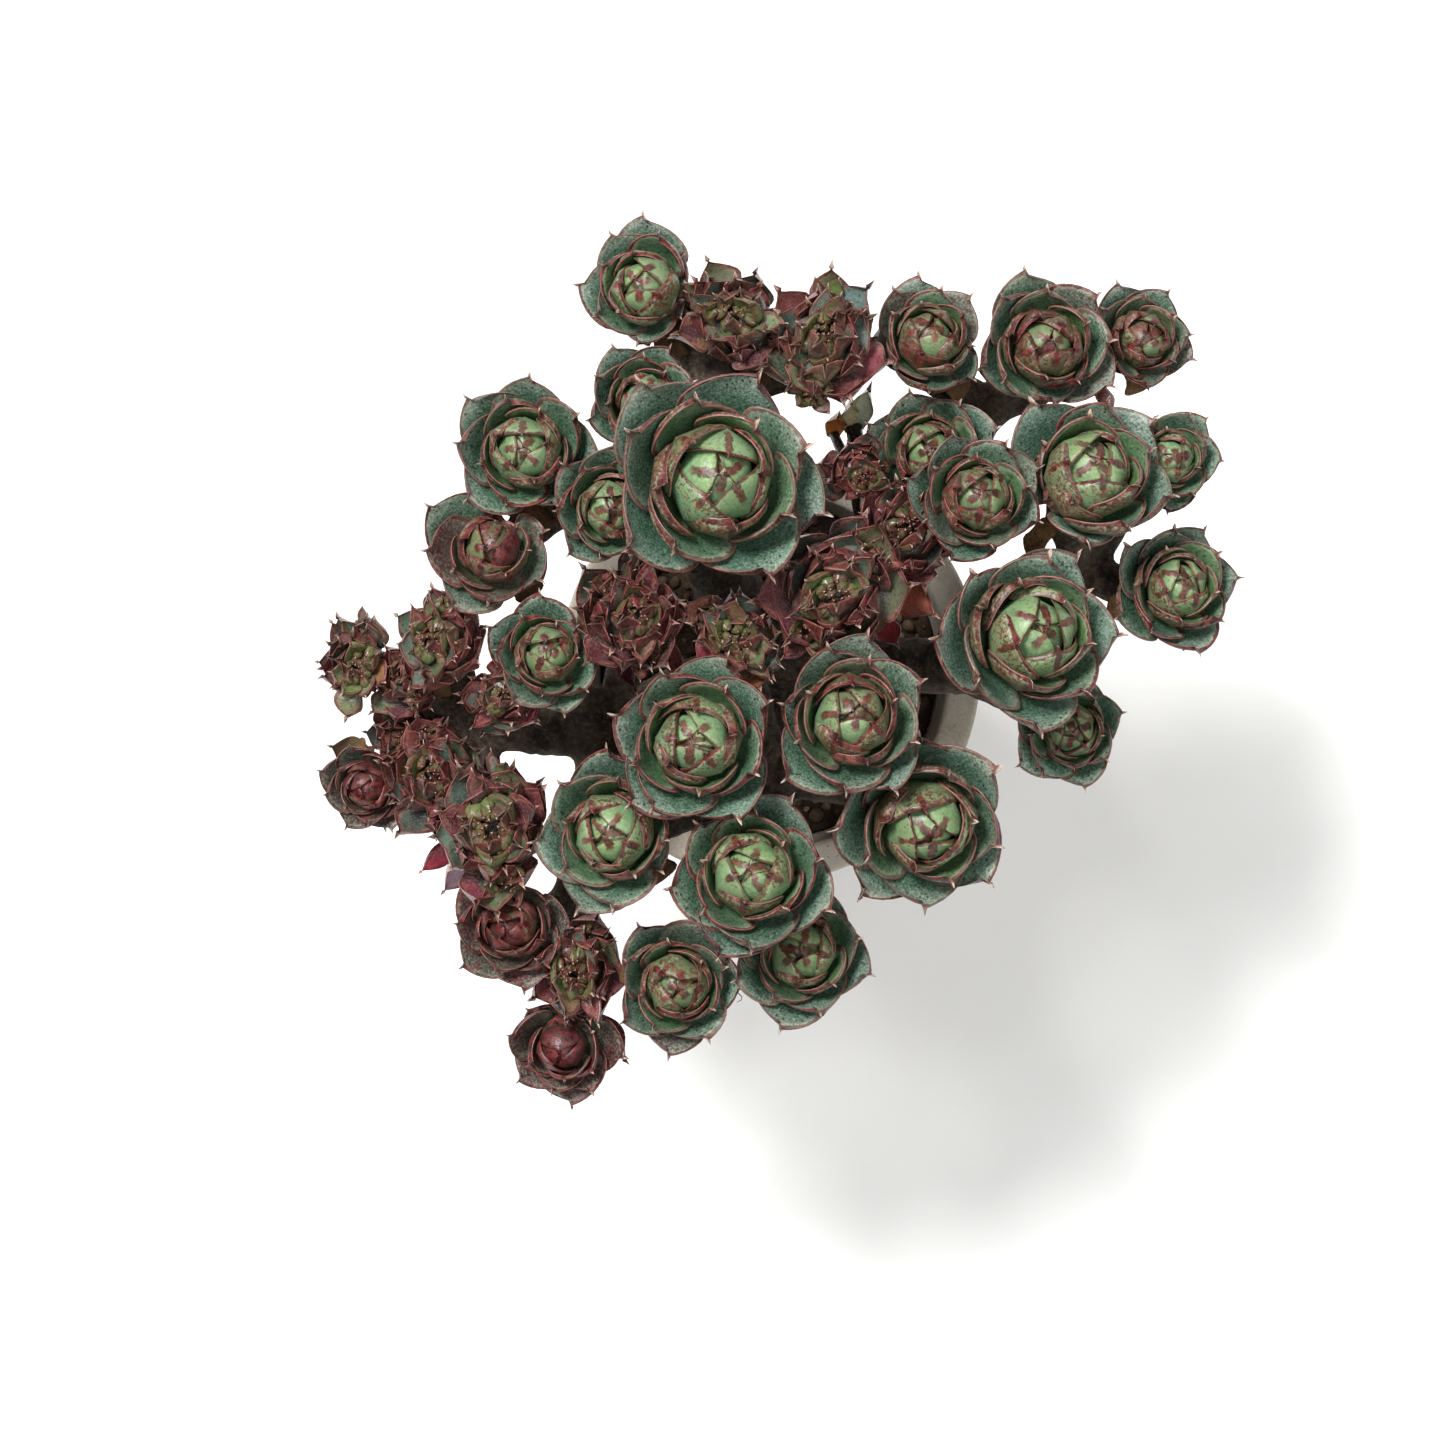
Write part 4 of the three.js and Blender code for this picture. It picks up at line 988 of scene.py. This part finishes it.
def centre_heads(head, over, rng):
    """The growing centres: a long one on the ridge, and smaller ones towards its ends, drawn in where a head
    stands over them. With each, whether it is one of the smaller."""
    found = []
    along = math.cos(head.ridge) * head.right + math.sin(head.ridge) * head.front
    across = np.cross(head.axis, along)
    turns = np.linspace(0, TURN, OUTLINE_POINTS, endpoint=False)[:, None]
    circle = np.cos(turns) * along + np.sin(turns) * across
    ends = [0, SIDE_OFF, -SIDE_OFF][: head.centres]
    for end in ends:
        off = (end + rng.uniform(-ALONG_PLAY, ALONG_PLAY)) * head.radius * head.stretch
        aside = rng.uniform(-ASIDE_PLAY, ASIDE_PLAY) * head.radius
        size = rng.uniform(*SIZE_PLAY) * (SIDE_RADIUS if end else CENTRE_RADIUS)
        rise = CENTRE_HEIGHT - SIDE_FALL * abs(end)
        middle = head.at + aside * across + rise * head.radius * head.axis
        outline = middle + size * head.radius * circle
        nearest = SIDE_NEAREST * head.radius
        while abs(off) > nearest and any(other.holds(outline + off * along).any() for other in over):
            off *= SIDE_DRAWN_IN
        lean = head.axis + SIDE_LEAN * off / head.radius * along
        ridge = math.degrees(head.ridge) + rng.uniform(-RIDGE_PLAY, RIDGE_PLAY)
        stretch = rng.uniform(*(SIDE_STRETCH if end else CENTRE_STRETCH))
        centre = Head(head.name, head.seed, middle + off * along, size * head.radius, lean[:2] / lean[2],
                      head.limb, head.red, head.mint, ridge, stretch)
        found.append((centre, int(end != 0)))
    return found


# The stem and what is on it
def quadratic(start, middle, end, share):
    share = np.asarray(share)[:, None]
    rest = 1 - share
    return rest**2 * start + 2 * rest * share * middle + share**2 * end


def tube(piece, line, radii, sides, bumps=None, **layers):
    """A closed tube of the given radii along a line of points, with the ends drawn in to a point."""
    heading = unit(np.gradient(line, axis=0))
    aside = unit(np.array([1.0, 0, 0]) - heading[:, :1] * heading)
    ahead = np.cross(aside, heading)
    angle = np.arange(sides) / sides * TURN
    radii = np.asarray(radii)[:, None]
    if bumps is not None:
        radii = radii * bumps(angle[None, :])
    ring = line[:, None] + (radii * np.cos(angle))[..., None] * aside[:, None]
    ring = ring + (radii * np.sin(angle))[..., None] * ahead[:, None]
    points = shell_points(line[0], ring, line[-1])
    values = {name: np.broadcast_to(value, points.shape).copy() for name, value in layers.items()}
    piece.add(points, shell_faces(len(line), sides), **values)


def end_of(limb):
    return np.array(FORK if limb == "fork" else LIMBS[limb][1], float)


def add_rod(piece, start, middle, end, first, last, rng):
    """A length of stem with the low rings that fallen leaves left on it."""
    length = np.linalg.norm(middle - start) + np.linalg.norm(end - middle)
    share = np.linspace(0, 1, max(ROD_LEAST_STEPS, int(length / ROD_STEP)))
    swell = 1 + SWELL * np.sin(share * rng.uniform(*SWELLS) + rng.uniform(0, TURN))
    phase = rng.uniform(0, TURN)
    lobes = rng.integers(2, 4)

    def bumps(angle):
        climb = share[:, None] * length / SCAR_EVERY + lobes * angle / TURN * 0.5
        scar = np.abs(np.sin(math.pi * (climb + SCAR_WANDER * np.sin(angle * 3 + phase)))) ** 3
        lump = LUMP * np.sin(angle * lobes + phase + share[:, None] * 7)
        lump = lump + SMALL_LUMP * np.sin(angle * 5 - phase + share[:, None] * length)
        return 1 + SCAR_RISE * (scar - 0.5) + lump

    radii = between((first, last), share) * swell
    tube(piece, quadratic(start, middle, end, share), radii, ROD_SIDES, bumps)


def branch_points(head):
    start = end_of(head.limb)
    end = head.at - SEAT_GAP * head.axis
    below = end - head.axis * BRANCH_UPRIGHT * np.linalg.norm(end - start)
    return start, below, end


def nearest_on_stem(point, heads):
    """The nearest point of the middle lines of the limbs and branches."""
    lines = [branch_points(head) for head in heads]
    for origin, end, _ in LIMBS.values():
        start, end = end_of(origin), np.array(end, float)
        lines.append((start, (start + end) / 2, end))
    points = np.concatenate([quadratic(*line, np.linspace(0, 1, LINE_POINTS)) for line in lines])
    return points[np.linalg.norm(points - point, axis=1).argmin()]


def build_strays(heads):
    """The single leaves between the heads, each on a short shoot from the stem."""
    rng = np.random.default_rng(STRAY_SEED)
    piece = Piece()
    shares = np.linspace(0, 1, SHOOT_RINGS)
    for foot, tip, width, tone in STRAYS:
        foot = np.array(foot, float)
        way = tip - foot
        length = np.linalg.norm(way)
        run = (np.zeros(2), np.array([np.hypot(*way[:2]), way[2]]) / length)
        leaf = {"run": run, "turn": math.atan2(way[1], way[0]), "reach": 1, "bow": STRAY_BOW}
        loosened(leaf, rng, 0, CREST_ROLL)
        holder = Head("stray", 0, foot, length, (0, 0), None, 1, 0)
        leaf_shell(piece, holder, leaf, crest_place, CREST_LOOK, width / length, STRAY_THICKNESS,
                   stray_colours(rgb(tone), rng), rng)
        start = nearest_on_stem(foot, heads)
        end = foot + SHOOT_INTO_LEAF * way
        middle = (start + end) / 2 - np.array([0, 0, SHOOT_SAG * np.linalg.norm(end - start)])
        # The shoot takes the near-black painted shade of the crest leaves' feet
        tube(piece, quadratic(start, middle, end, shares), between(SHOOT_RADII, shares), SHOOT_SIDES,
             skin=CREST_FOOT_SHADE, reds=0, extras=0, marks=1)
    piece.build("stray_leaves", CREST_SKIN)


def build_stem(heads):
    rng = np.random.default_rng(STEM_SEED)
    piece = Piece()
    foot = np.array([0, 0, SOIL_TOP + SOIL_CROWN - TRUNK_HOLE_DEPTH + SEAT_GAP])
    collar = np.array([0, 0, SOIL_TOP + TRUNK_COLLAR])
    radii = TRUNK_RADIUS * TRUNK_FOOT_SHARE, TRUNK_RADIUS * TRUNK_TAPER
    add_rod(piece, foot, collar, end_of("fork"), *radii, rng)
    for origin, end, radius in LIMBS.values():
        start, end = end_of(origin), np.array(end, float)
        middle = (start + end) / 2 - np.array([0, 0, LIMB_SAG])
        low = start - LIMB_ROOT * (end - start)
        add_rod(piece, low, middle, end, radius * LIMB_SWELL["foot"], radius * LIMB_SWELL["tip"], rng)
    for head in heads:
        add_rod(piece, *branch_points(head), BRANCH_FOOT_RADIUS, head.stalk, rng)
    stem = piece.build("stem_bark", BARK, ["stem"])
    remesh = stem.modifiers.new("join", "REMESH")
    remesh.mode, remesh.voxel_size = "VOXEL", STEM_VOXEL * MM
    soften = stem.modifiers.new("soften", "SMOOTH")
    soften.factor, soften.iterations = 0.5, 2
    settle(stem)


def settle(made):
    """Puts what the modifiers give into the piece's own mesh."""
    depsgraph = bpy.context.evaluated_depsgraph_get()
    mesh = bpy.data.meshes.new_from_object(made.evaluated_get(depsgraph))
    mesh.name = made.name
    mesh.shade_smooth()
    made.modifiers.clear()
    made.data = mesh


def build_dry_leaves(heads):
    """Withered leaves that hang on the branches under the rosettes."""
    rng = np.random.default_rng(DRY_SEED)
    piece = Piece()
    side, face = section(np.arange(DRY_SIDES) * 360 / DRY_SIDES, 2)
    share = np.linspace(0.04, 0.98, DRY_RINGS)[:, None]
    for head in heads:
        for i in range(1 if head.centres else DRY_EACH):
            turn = rng.uniform(0, TURN)
            length = rng.uniform(*DRY_LENGTHS) * min(head.radius, DRY_HEAD_MOST)
            width = rng.uniform(*DRY_WIDTHS) * length
            drop = rng.uniform(*DRY_DROPS)
            level = rng.uniform(*DRY_LEVELS) * head.radius
            out = head.stalk * 0.8 + length * np.sin(share * 1.9) / 1.1
            height = -level - length * drop * share**1.8 + 0.15 * length * np.sin(share * 3)
            radial = math.cos(turn) * head.right + math.sin(turn) * head.front
            across = np.cross(head.axis, radial)
            half = width * np.sin(math.pi * share**0.8) ** 0.7
            cup = DRY_CUP * half * side**2 * rng.uniform(-1, 1)
            crinkle = DRY_CRINKLE * width * np.sin(side * rng.uniform(4, 8) + share * 9)
            lift = face * DRY_THICKNESS + cup + crinkle
            points = head.at + (out + 0 * side)[..., None] * radial
            points = points + (half * side * (1 + 0.15 * np.sin(share * 12)))[..., None] * across
            points = points + (height + lift)[..., None] * head.axis
            foot = head.at + head.stalk * 0.6 * radial - level * head.axis
            tip = points[-1].mean(0) + 0.03 * length * radial
            skin = DRY_LEAF * rng.uniform(*DRY_TONES) * np.ones(points.shape)
            piece.add(shell_points(foot, points, tip), shell_faces(DRY_RINGS, DRY_SIDES),
                      skin=shell_points(skin[0, 0], skin, skin[0, 0]))
    piece.build("dry_leaves", DRY_SKIN)


def build_roots(heads):
    """Thin dry roots that hang from the branches."""
    rng = np.random.default_rng(ROOT_SEED)
    piece = Piece()
    share = np.linspace(0, 1, ROOT_RINGS)
    for _ in range(ROOT_COUNT):
        head = heads[rng.integers(len(heads))]
        origin = quadratic(*branch_points(head), np.array([rng.uniform(*ROOT_PLACES)]))[0]
        way = unit(np.array([rng.normal(), rng.normal(), -0.4 + 0.5 * rng.normal()]))
        bend = unit(rng.normal(size=3))
        length = rng.uniform(*ROOT_LENGTHS)
        bends = bend * length * ROOT_BEND * np.sin(share * rng.uniform(2, 6))[:, None]
        line = origin + way * length * share[:, None] + bends
        line[:, 2] = np.maximum(line[:, 2], SOIL_TOP + ROOT_CLEAR)
        radii = np.linspace(rng.uniform(*ROOT_RADII), ROOT_END_RADIUS, ROOT_RINGS)
        tube(piece, line, radii, ROOT_SIDES, skin=DRY_LEAF * rng.uniform(*ROOT_TONES))
    piece.build("dry_roots", DRY_SKIN)


# The pot and the soil
def lathe(piece, profile, sides, wobble=None):
    """A turned closed shell; its profile starts and ends on the axis, or closes on itself."""
    profile = np.array(profile, float)
    angle = np.arange(sides) / sides * TURN
    closed = profile[0, 0] > 0
    rings = profile if closed else profile[1:-1]
    out = rings[:, :1] + 0 * angle
    if wobble is not None:
        out = out + wobble(rings[:, 1:], angle)
    points = np.stack([out * np.cos(angle), out * np.sin(angle), rings[:, 1:] + 0 * angle], -1)
    if not closed:
        piece.add(shell_points(np.array([0, 0, profile[0, 1]]), points, np.array([0, 0, profile[-1, 1]])),
                  [rows[:, ::-1] for rows in shell_faces(len(rings), sides)])
        return
    around = np.arange(sides)
    following = (around + 1) % sides
    strips = []
    for ring in range(len(rings)):
        low = ring * sides
        high = (ring + 1) % len(rings) * sides
        strips.append(np.stack([low + around, high + around, high + following, low + following], 1))
    piece.add(points.reshape(-1, 3), strips)


def rounded(corners, radius, steps=5):
    """A closed profile with each corner rounded off."""
    corners = np.array(corners, float)
    found = []
    for i, corner in enumerate(corners):
        before, after = corners[i - 1] - corner, corners[(i + 1) % len(corners)] - corner
        cut = min(radius, 0.4 * np.linalg.norm(before), 0.4 * np.linalg.norm(after))
        start, end = corner + unit(before) * cut, corner + unit(after) * cut
        found.extend(quadratic(start, corner, end, np.linspace(0, 1, steps)))
    return found


def filled(profile, step):
    """A closed profile with points no further apart than a step."""
    found = []
    for i, point in enumerate(profile):
        after = profile[(i + 1) % len(profile)]
        count = max(1, int(np.linalg.norm(after - point) / step))
        found.extend(point + (after - point) * k / count for k in range(count))
    return found


def outer_radius(height):
    widening = POT_RIM_RADIUS - RIM_BAND_DEPTH - POT_FOOT_RADIUS
    return POT_FOOT_RADIUS + widening * height / (POT_HEIGHT - RIM_BAND_HEIGHT)


def inner_radius(height):
    return outer_radius(height) - POT_WALL


def build_pot():
    band = POT_HEIGHT - RIM_BAND_HEIGHT
    corners = [
        (DRAIN_RADIUS, 0),
        (POT_FOOT_RADIUS, 0),
        (outer_radius(band), band),
        (POT_RIM_RADIUS - RIM_LIP, band + RIM_LIP),
        (POT_RIM_RADIUS, POT_HEIGHT),
        (inner_radius(POT_HEIGHT), POT_HEIGHT),
        (inner_radius(POT_FLOOR), POT_FLOOR),
        (DRAIN_RADIUS, POT_FLOOR),
    ]

    def wobble(height, angle):
        rings = THROWING_RINGS * np.sin(height * RING_PITCH) * (height > 2) * (height < band - 1)
        for size, lobes, climb in OUT_OF_ROUND:
            rings = rings + size * np.sin(angle * lobes + height * climb)
        return rings

    piece = Piece()
    lathe(piece, filled(rounded(corners, POT_ROUND), POT_STEP), POT_SIDES, wobble)
    piece.build("clay_pot", CLAY, ["pot"])


def stone_shape():
    """The corners and faces of a ball of 80 triangles."""
    mesh = bpy.data.meshes.new("stone")
    ball = bmesh.new()
    bmesh.ops.create_icosphere(ball, subdivisions=2, radius=1)
    ball.to_mesh(mesh)
    ball.free()
    points = np.array([v.co for v in mesh.vertices], float)
    faces = np.array([list(p.vertices) for p in mesh.polygons])
    bpy.data.meshes.remove(mesh)
    return points, faces


def build_soil():
    floor = POT_FLOOR + SEAT_GAP
    edge = inner_radius(SOIL_TOP) - SEAT_GAP
    hole = TRUNK_RADIUS + SEAT_GAP
    bottom = SOIL_TOP + SOIL_CROWN - TRUNK_HOLE_DEPTH
    rng = np.random.default_rng(GRIT_SEED)
    waves = [(rng.uniform(*SOIL_WAVE_RATES, 2) * rng.choice([-1, 1], 2), rng.uniform(0, TURN))
             for _ in range(SOIL_WAVES)]

    def relief(x, y):
        return sum(np.sin(x * way[0] + y * way[1] + phase) for way, phase in waves) * SOIL_RELIEF

    piece = Piece()
    out = np.concatenate([[hole], np.linspace(hole + SOIL_EDGE, edge - SOIL_EDGE, SOIL_RINGS), [edge]])
    top = SOIL_TOP + SOIL_CROWN * (1 - out / edge)
    profile = [(0, floor), (inner_radius(floor) - SEAT_GAP, floor), *reversed(list(zip(out, top))),
               (hole, bottom), (0, bottom)]
    lathe(piece, profile, SOIL_SIDES)
    points = piece.points[0]
    reach = np.linalg.norm(points[:, :2], axis=1)
    on_top = (points[:, 2] > SOIL_TOP - 0.5) & (reach > hole + 0.1) & (reach < edge - 0.1)
    points[on_top, 2] += relief(points[on_top, 0], points[on_top, 1])
    piece.build("soil_bed", SOIL, ["soil"])

    stones = Piece()
    shape, faces = stone_shape()
    for i in range(GRIT_STONES):
        turn = i * GOLDEN_ANGLE
        out = math.sqrt(between(((hole + 0.8) ** 2, (edge - 1) ** 2), (i + 0.5) / GRIT_STONES))
        size = rng.uniform(*(GRIT_SIZES if i % LARGE_EVERY else LARGE_SIZES))
        cuts = unit(rng.normal(size=(GRIT_CUTS, 3)))
        depth = (shape @ cuts.T).max(1)
        stone = shape * (1.05 - 0.3 * depth[:, None]) * rng.uniform(*GRIT_STRETCH, 3) * size
        angle = rng.uniform(0, TURN)
        cosine, sine = math.cos(angle), math.sin(angle)
        turned = stone @ np.array([[cosine, sine, 0], [-sine, cosine, 0], [0, 0, 1]])
        x, y = out * math.cos(turn), out * math.sin(turn)
        z = SOIL_TOP + SOIL_CROWN * (1 - out / edge) + relief(x, y) + GRIT_RISE * size
        shade = rng.choice(GRIT_SHADES, p=GRIT_ODDS)
        skin = np.broadcast_to(STONE_TONE * shade * rng.uniform(0.8, 1.2), stone.shape).copy()
        stones.add(turned + np.array([x, y, z]), [faces], skin=skin)
    stones.build("soil_grit", GRIT)


# Materials
class Material:
    """A node material, put together with few words."""

    def __init__(self, name):
        self.material = bpy.data.materials.new(name)
        self.material.use_nodes = True
        self.tree = self.material.node_tree
        self.shader = self.tree.nodes["Principled BSDF"]

    def node(self, kind, inputs=None, **settings):
        made = self.tree.nodes.new("ShaderNode" + kind)
        for name, value in settings.items():
            setattr(made, name, value)
        for name, value in (inputs or {}).items():
            self.feed(made.inputs[name], value)
        return made

    def feed(self, socket, value):
        if isinstance(value, bpy.types.NodeSocket):
            self.tree.links.new(value, socket)
        elif socket.type == "RGBA":
            socket.default_value = (*value, 1)
        else:
            socket.default_value = value

    def place(self):
        return self.node("TexCoord").outputs["Object"]

    def noise(self, scale, detail=3, roughness=0.55, distortion=0):
        inputs = {"Vector": self.place(), "Scale": scale, "Detail": detail, "Roughness": roughness,
                  "Distortion": distortion}
        return self.node("TexNoise", inputs).outputs["Fac"]

    def cells(self, scale):
        return self.node("TexVoronoi", {"Vector": self.place(), "Scale": scale}).outputs["Distance"]

    def layer(self, name):
        vector = self.node("Attribute", attribute_name=name).outputs["Vector"]
        split = self.node("SeparateXYZ", {"Vector": vector})
        return split.outputs["X"], split.outputs["Y"], split.outputs["Z"]

    def colour(self, name):
        return self.node("Attribute", attribute_name=name).outputs["Color"]

    def math(self, operation, first, second=0.0):
        return self.node("Math", {0: first, 1: second}, operation=operation).outputs[0]

    def times(self, first, second):
        return self.math("MULTIPLY", first, second)

    def plus(self, first, second):
        return self.math("ADD", first, second)

    def ramp(self, value, low, high, start=0.0, end=1.0):
        inputs = {"Value": value, "From Min": low, "From Max": high, "To Min": start, "To Max": end}
        return self.node("MapRange", inputs, interpolation_type="SMOOTHSTEP").outputs[0]

    def mix(self, share, first, second, blend_type="MIX"):
        made = self.node("Mix", {0: share, 6: first, 7: second}, data_type="RGBA", blend_type=blend_type)
        return made.outputs[2]

    def bump(self, height, strength, distance):
        made = self.node("Bump", {"Height": height, "Strength": strength, "Distance": distance})
        self.feed(self.shader.inputs["Normal"], made.outputs["Normal"])

    def set(self, **sockets):
        for name, value in sockets.items():
            self.feed(self.shader.inputs[name.replace("_", " ")], value)


def leaf_skin(name, roughness, shine, edge_tone):
    """Succulent leaf: red margin, keel and mottling over the skin's own colour, under a thin pale bloom."""
    m = Material(name)
    edge, keel, face = m.layer("marks")
    margin_share, keel_share, mottle_share = m.layer("reds")
    rim_share, bloom_share, speck_share = m.layer("extras")
    fine = m.noise(2600, 3)
    medium = m.noise(900, 4, 0.6)
    broad = m.noise(190, 2)
    small = m.noise(1900, 4, 0.65)
    ragged = m.times(m.math("SUBTRACT", medium, 0.5), 0.14)
    rough_edge = m.plus(edge, ragged)
    margin = m.times(m.ramp(rough_edge, 0.036, 0.062, 1, 0), margin_share)
    pale_edge = m.times(m.ramp(rough_edge, 0.05, 0.14, 0.65, 0), margin_share)
    rough_keel = m.plus(keel, m.times(ragged, 0.6))
    stripe = m.times(m.ramp(rough_keel, 0.022, 0.036, 1, 0), keel_share)
    patches = m.ramp(m.plus(small, m.times(broad, 0.3)), 0.5, 0.78)
    mottle = m.ramp(m.plus(patches, mottle_share), 0.75, 1.25)
    mottle = m.times(mottle, m.ramp(mottle_share, 0.02, 0.4))
    grain = m.plus(m.times(medium, 0.6), m.times(fine, 0.4))
    red = m.mix(m.ramp(grain, 0.4, 0.62), rgb("2c090d"), rgb("6a2624"))
    bloom = m.times(m.ramp(m.noise(3400, 3, 0.6), 0.4, 0.68, 0, 0.6), bloom_share)
    skin = m.mix(bloom, m.colour("skin"), rgb("a3b3a8"))
    skin = m.mix(m.ramp(small, 0.42, 0.66, 0.3, 0), skin, rgb("1d2a20"))
    dots = m.ramp(m.cells(1400), 0.18, 0.38, 1, 0)
    dots = m.times(dots, m.ramp(medium, 0.4, 0.6, 0.2, 0.9))
    blots = m.ramp(m.noise(1250, 2), 0.61, 0.7, 0, 0.6)
    skin = m.mix(m.times(m.math("MAXIMUM", dots, blots), speck_share), skin, rgb("1f2619"))
    skin = m.mix(m.times(pale_edge, rim_share), skin, rgb(edge_tone))
    skin = m.mix(m.times(mottle, 0.8), skin, red)
    marked = m.math("MAXIMUM", margin, stripe)
    skin = m.mix(m.times(marked, 0.95), skin, red)
    # A thin pale line along the very edge, between the red bands: partly the edge's own pale bevel, partly a
    # painted highlight
    thin = m.ramp(m.math("ABSOLUTE", face), 0.14, 0.34, 1, 0)
    rim = m.times(m.ramp(edge, 0.008, 0.02, 1, 0), thin)
    rim = m.times(rim, m.ramp(small, 0.35, 0.6, 0.3, 1))
    skin = m.mix(m.times(rim, m.times(margin_share, rim_share)), skin, rgb("a8726b"))
    m.set(Base_Color=skin, Roughness=m.ramp(medium, 0.3, 0.75, *roughness), Specular_IOR_Level=shine)
    m.bump(m.plus(fine, m.times(medium, 0.8)), 0.28, 0.00022)
    return m.material


def dry_skin():
    m = Material("dry_skin")
    veins = m.noise(1500, 5, 0.65)
    skin = m.mix(m.ramp(veins, 0.35, 0.7), m.colour("skin"), rgb("4a3324"))
    m.set(Base_Color=skin, Roughness=m.ramp(veins, 0.3, 0.7, 0.8, 0.95), Specular_IOR_Level=0.2)
    m.bump(veins, 0.6, 0.0003)
    return m.material


def bark():
    m = Material("bark")
    fine = m.noise(1400, 6, 0.7)
    broad = m.noise(160, 3)
    cracks = m.ramp(m.cells(420), 0.05, 0.5)
    skin = m.mix(m.ramp(broad, 0.35, 0.65), rgb("2a201a"), rgb("4b4037"))
    skin = m.mix(m.ramp(fine, 0.4, 0.75, 0, 0.8), skin, rgb("6f6353"))
    skin = m.mix(m.times(m.math("SUBTRACT", 1, cracks), 0.7), skin, rgb("17110d"))
    m.set(Base_Color=skin, Roughness=m.ramp(fine, 0.3, 0.7, 0.8, 0.97), Specular_IOR_Level=0.2)
    m.bump(m.plus(fine, cracks), 0.7, 0.0006)
    return m.material


def soil(name, own_colour):
    m = Material(name)
    fine = m.noise(1600, 6, 0.7)
    if own_colour:
        base = m.colour("skin")
    else:
        base = m.mix(m.ramp(m.noise(300, 3), 0.35, 0.65), rgb("2f241c"), rgb("4b3b2e"))
    skin = m.mix(m.ramp(fine, 0.35, 0.75, 0, 0.6), base, rgb("241b15"))
    m.set(Base_Color=skin, Roughness=m.ramp(fine, 0.3, 0.7, 0.88, 0.99), Specular_IOR_Level=0.2)
    m.bump(fine, 0.7, 0.0006)
    return m.material


def clay():
    m = Material("clay")
    fine = m.noise(2200, 5, 0.65)
    broad = m.noise(45, 4, 0.6)
    pores = m.ramp(m.cells(700), 0.06, 0.16, 1, 0)
    stains = m.noise(110, 5, 0.7, 0.6)
    skin = m.mix(m.ramp(broad, 0.35, 0.68), rgb("aea594"), rgb("c6beaf"))
    skin = m.mix(m.ramp(stains, 0.5, 0.72, 0, 0.5), skin, rgb("8f826c"))
    skin = m.mix(m.ramp(fine, 0.42, 0.75, 0, 0.5), skin, rgb("d8d2c6"))
    skin = m.mix(m.times(pores, 0.6), skin, rgb("8d8475"))
    m.set(Base_Color=skin, Roughness=m.ramp(fine, 0.3, 0.7, 0.78, 0.93), Specular_IOR_Level=0.25)
    m.bump(m.math("SUBTRACT", fine, pores), 0.5, 0.0003)
    return m.material


# Floor, soft light, and the camera straight above the crown, as in the photograph
def build_floor():
    mesh = bpy.data.meshes.new("floor")
    corners = [(-1, -1), (1, -1), (1, 1), (-1, 1)]
    points = [(x * FLOOR_HALF, y * FLOOR_HALF, -FLOOR_BELOW) for x, y in corners]
    mesh.from_pydata(points, [], [(0, 1, 2, 3)])
    m = Material("floor_paint")
    m.set(Base_Color=rgb("f4f4f2"), Roughness=0.9, Specular_IOR_Level=0.1)
    mesh.materials.append(m.material)
    floor = bpy.data.objects.new("floor", mesh)
    bpy.context.scene.collection.objects.link(floor)


def add_light(name, at, size, power):
    data = bpy.data.lights.new(name, "AREA")
    data.shape, data.size, data.energy = "DISK", size, power
    light = bpy.data.objects.new(name, data)
    light.location = at
    direction = -np.array(at) + np.array([0, 0, LIT_HEIGHT])
    light.rotation_mode = "QUATERNION"
    light.rotation_quaternion = Vector(direction).to_track_quat("-Z", "Y")
    bpy.context.scene.collection.objects.link(light)


def set_sky():
    world = bpy.data.worlds.new("studio")
    world.use_nodes = True
    background = world.node_tree.nodes["Background"]
    background.inputs["Color"].default_value = (1, 1, 1, 1)
    background.inputs["Strength"].default_value = SKY_STRENGTH
    bpy.context.scene.world = world
    bpy.context.scene.view_settings.view_transform = "Standard"


def set_camera():
    data = bpy.data.cameras.new("camera")
    data.lens = data.sensor_width * PICTURE_DISTANCE / PICTURE_WIDTH
    data.clip_start = CAMERA_NEAREST
    camera = bpy.data.objects.new("camera", data)
    camera.location = CAMERA_AT
    bpy.context.scene.collection.objects.link(camera)
    bpy.context.scene.camera = camera


# The part, put together
ROSETTE_SKIN = leaf_skin("rosette_skin", (0.34, 0.52), 0.42, "a3aa90")
CREST_SKIN = leaf_skin("crest_skin", (0.25, 0.4), 0.42, "93685c")
DRY_SKIN = dry_skin()
BARK = bark()
SOIL = soil("soil_fines", False)
GRIT = soil("soil_stone", True)
CLAY = clay()

rosettes = [Head(f"rosette_{i + 1:02d}", ROSETTE_SEED + i, *row) for i, row in enumerate(ROSETTES)]
crests = [Head(f"crest_{i + 1:02d}", CREST_SEED + i, *row) for i, row in enumerate(CRESTS)]
heads = rosettes + crests
for head in rosettes:
    build_rosette(head, over_of(head, heads))
for head in crests:
    build_crest(head, over_of(head, heads))
build_strays(heads)
build_stem(heads)
build_dry_leaves(heads)
build_roots(heads)
build_pot()
build_soil()

build_floor()
for light in LIGHTS:
    add_light(*light)
set_sky()
set_camera()
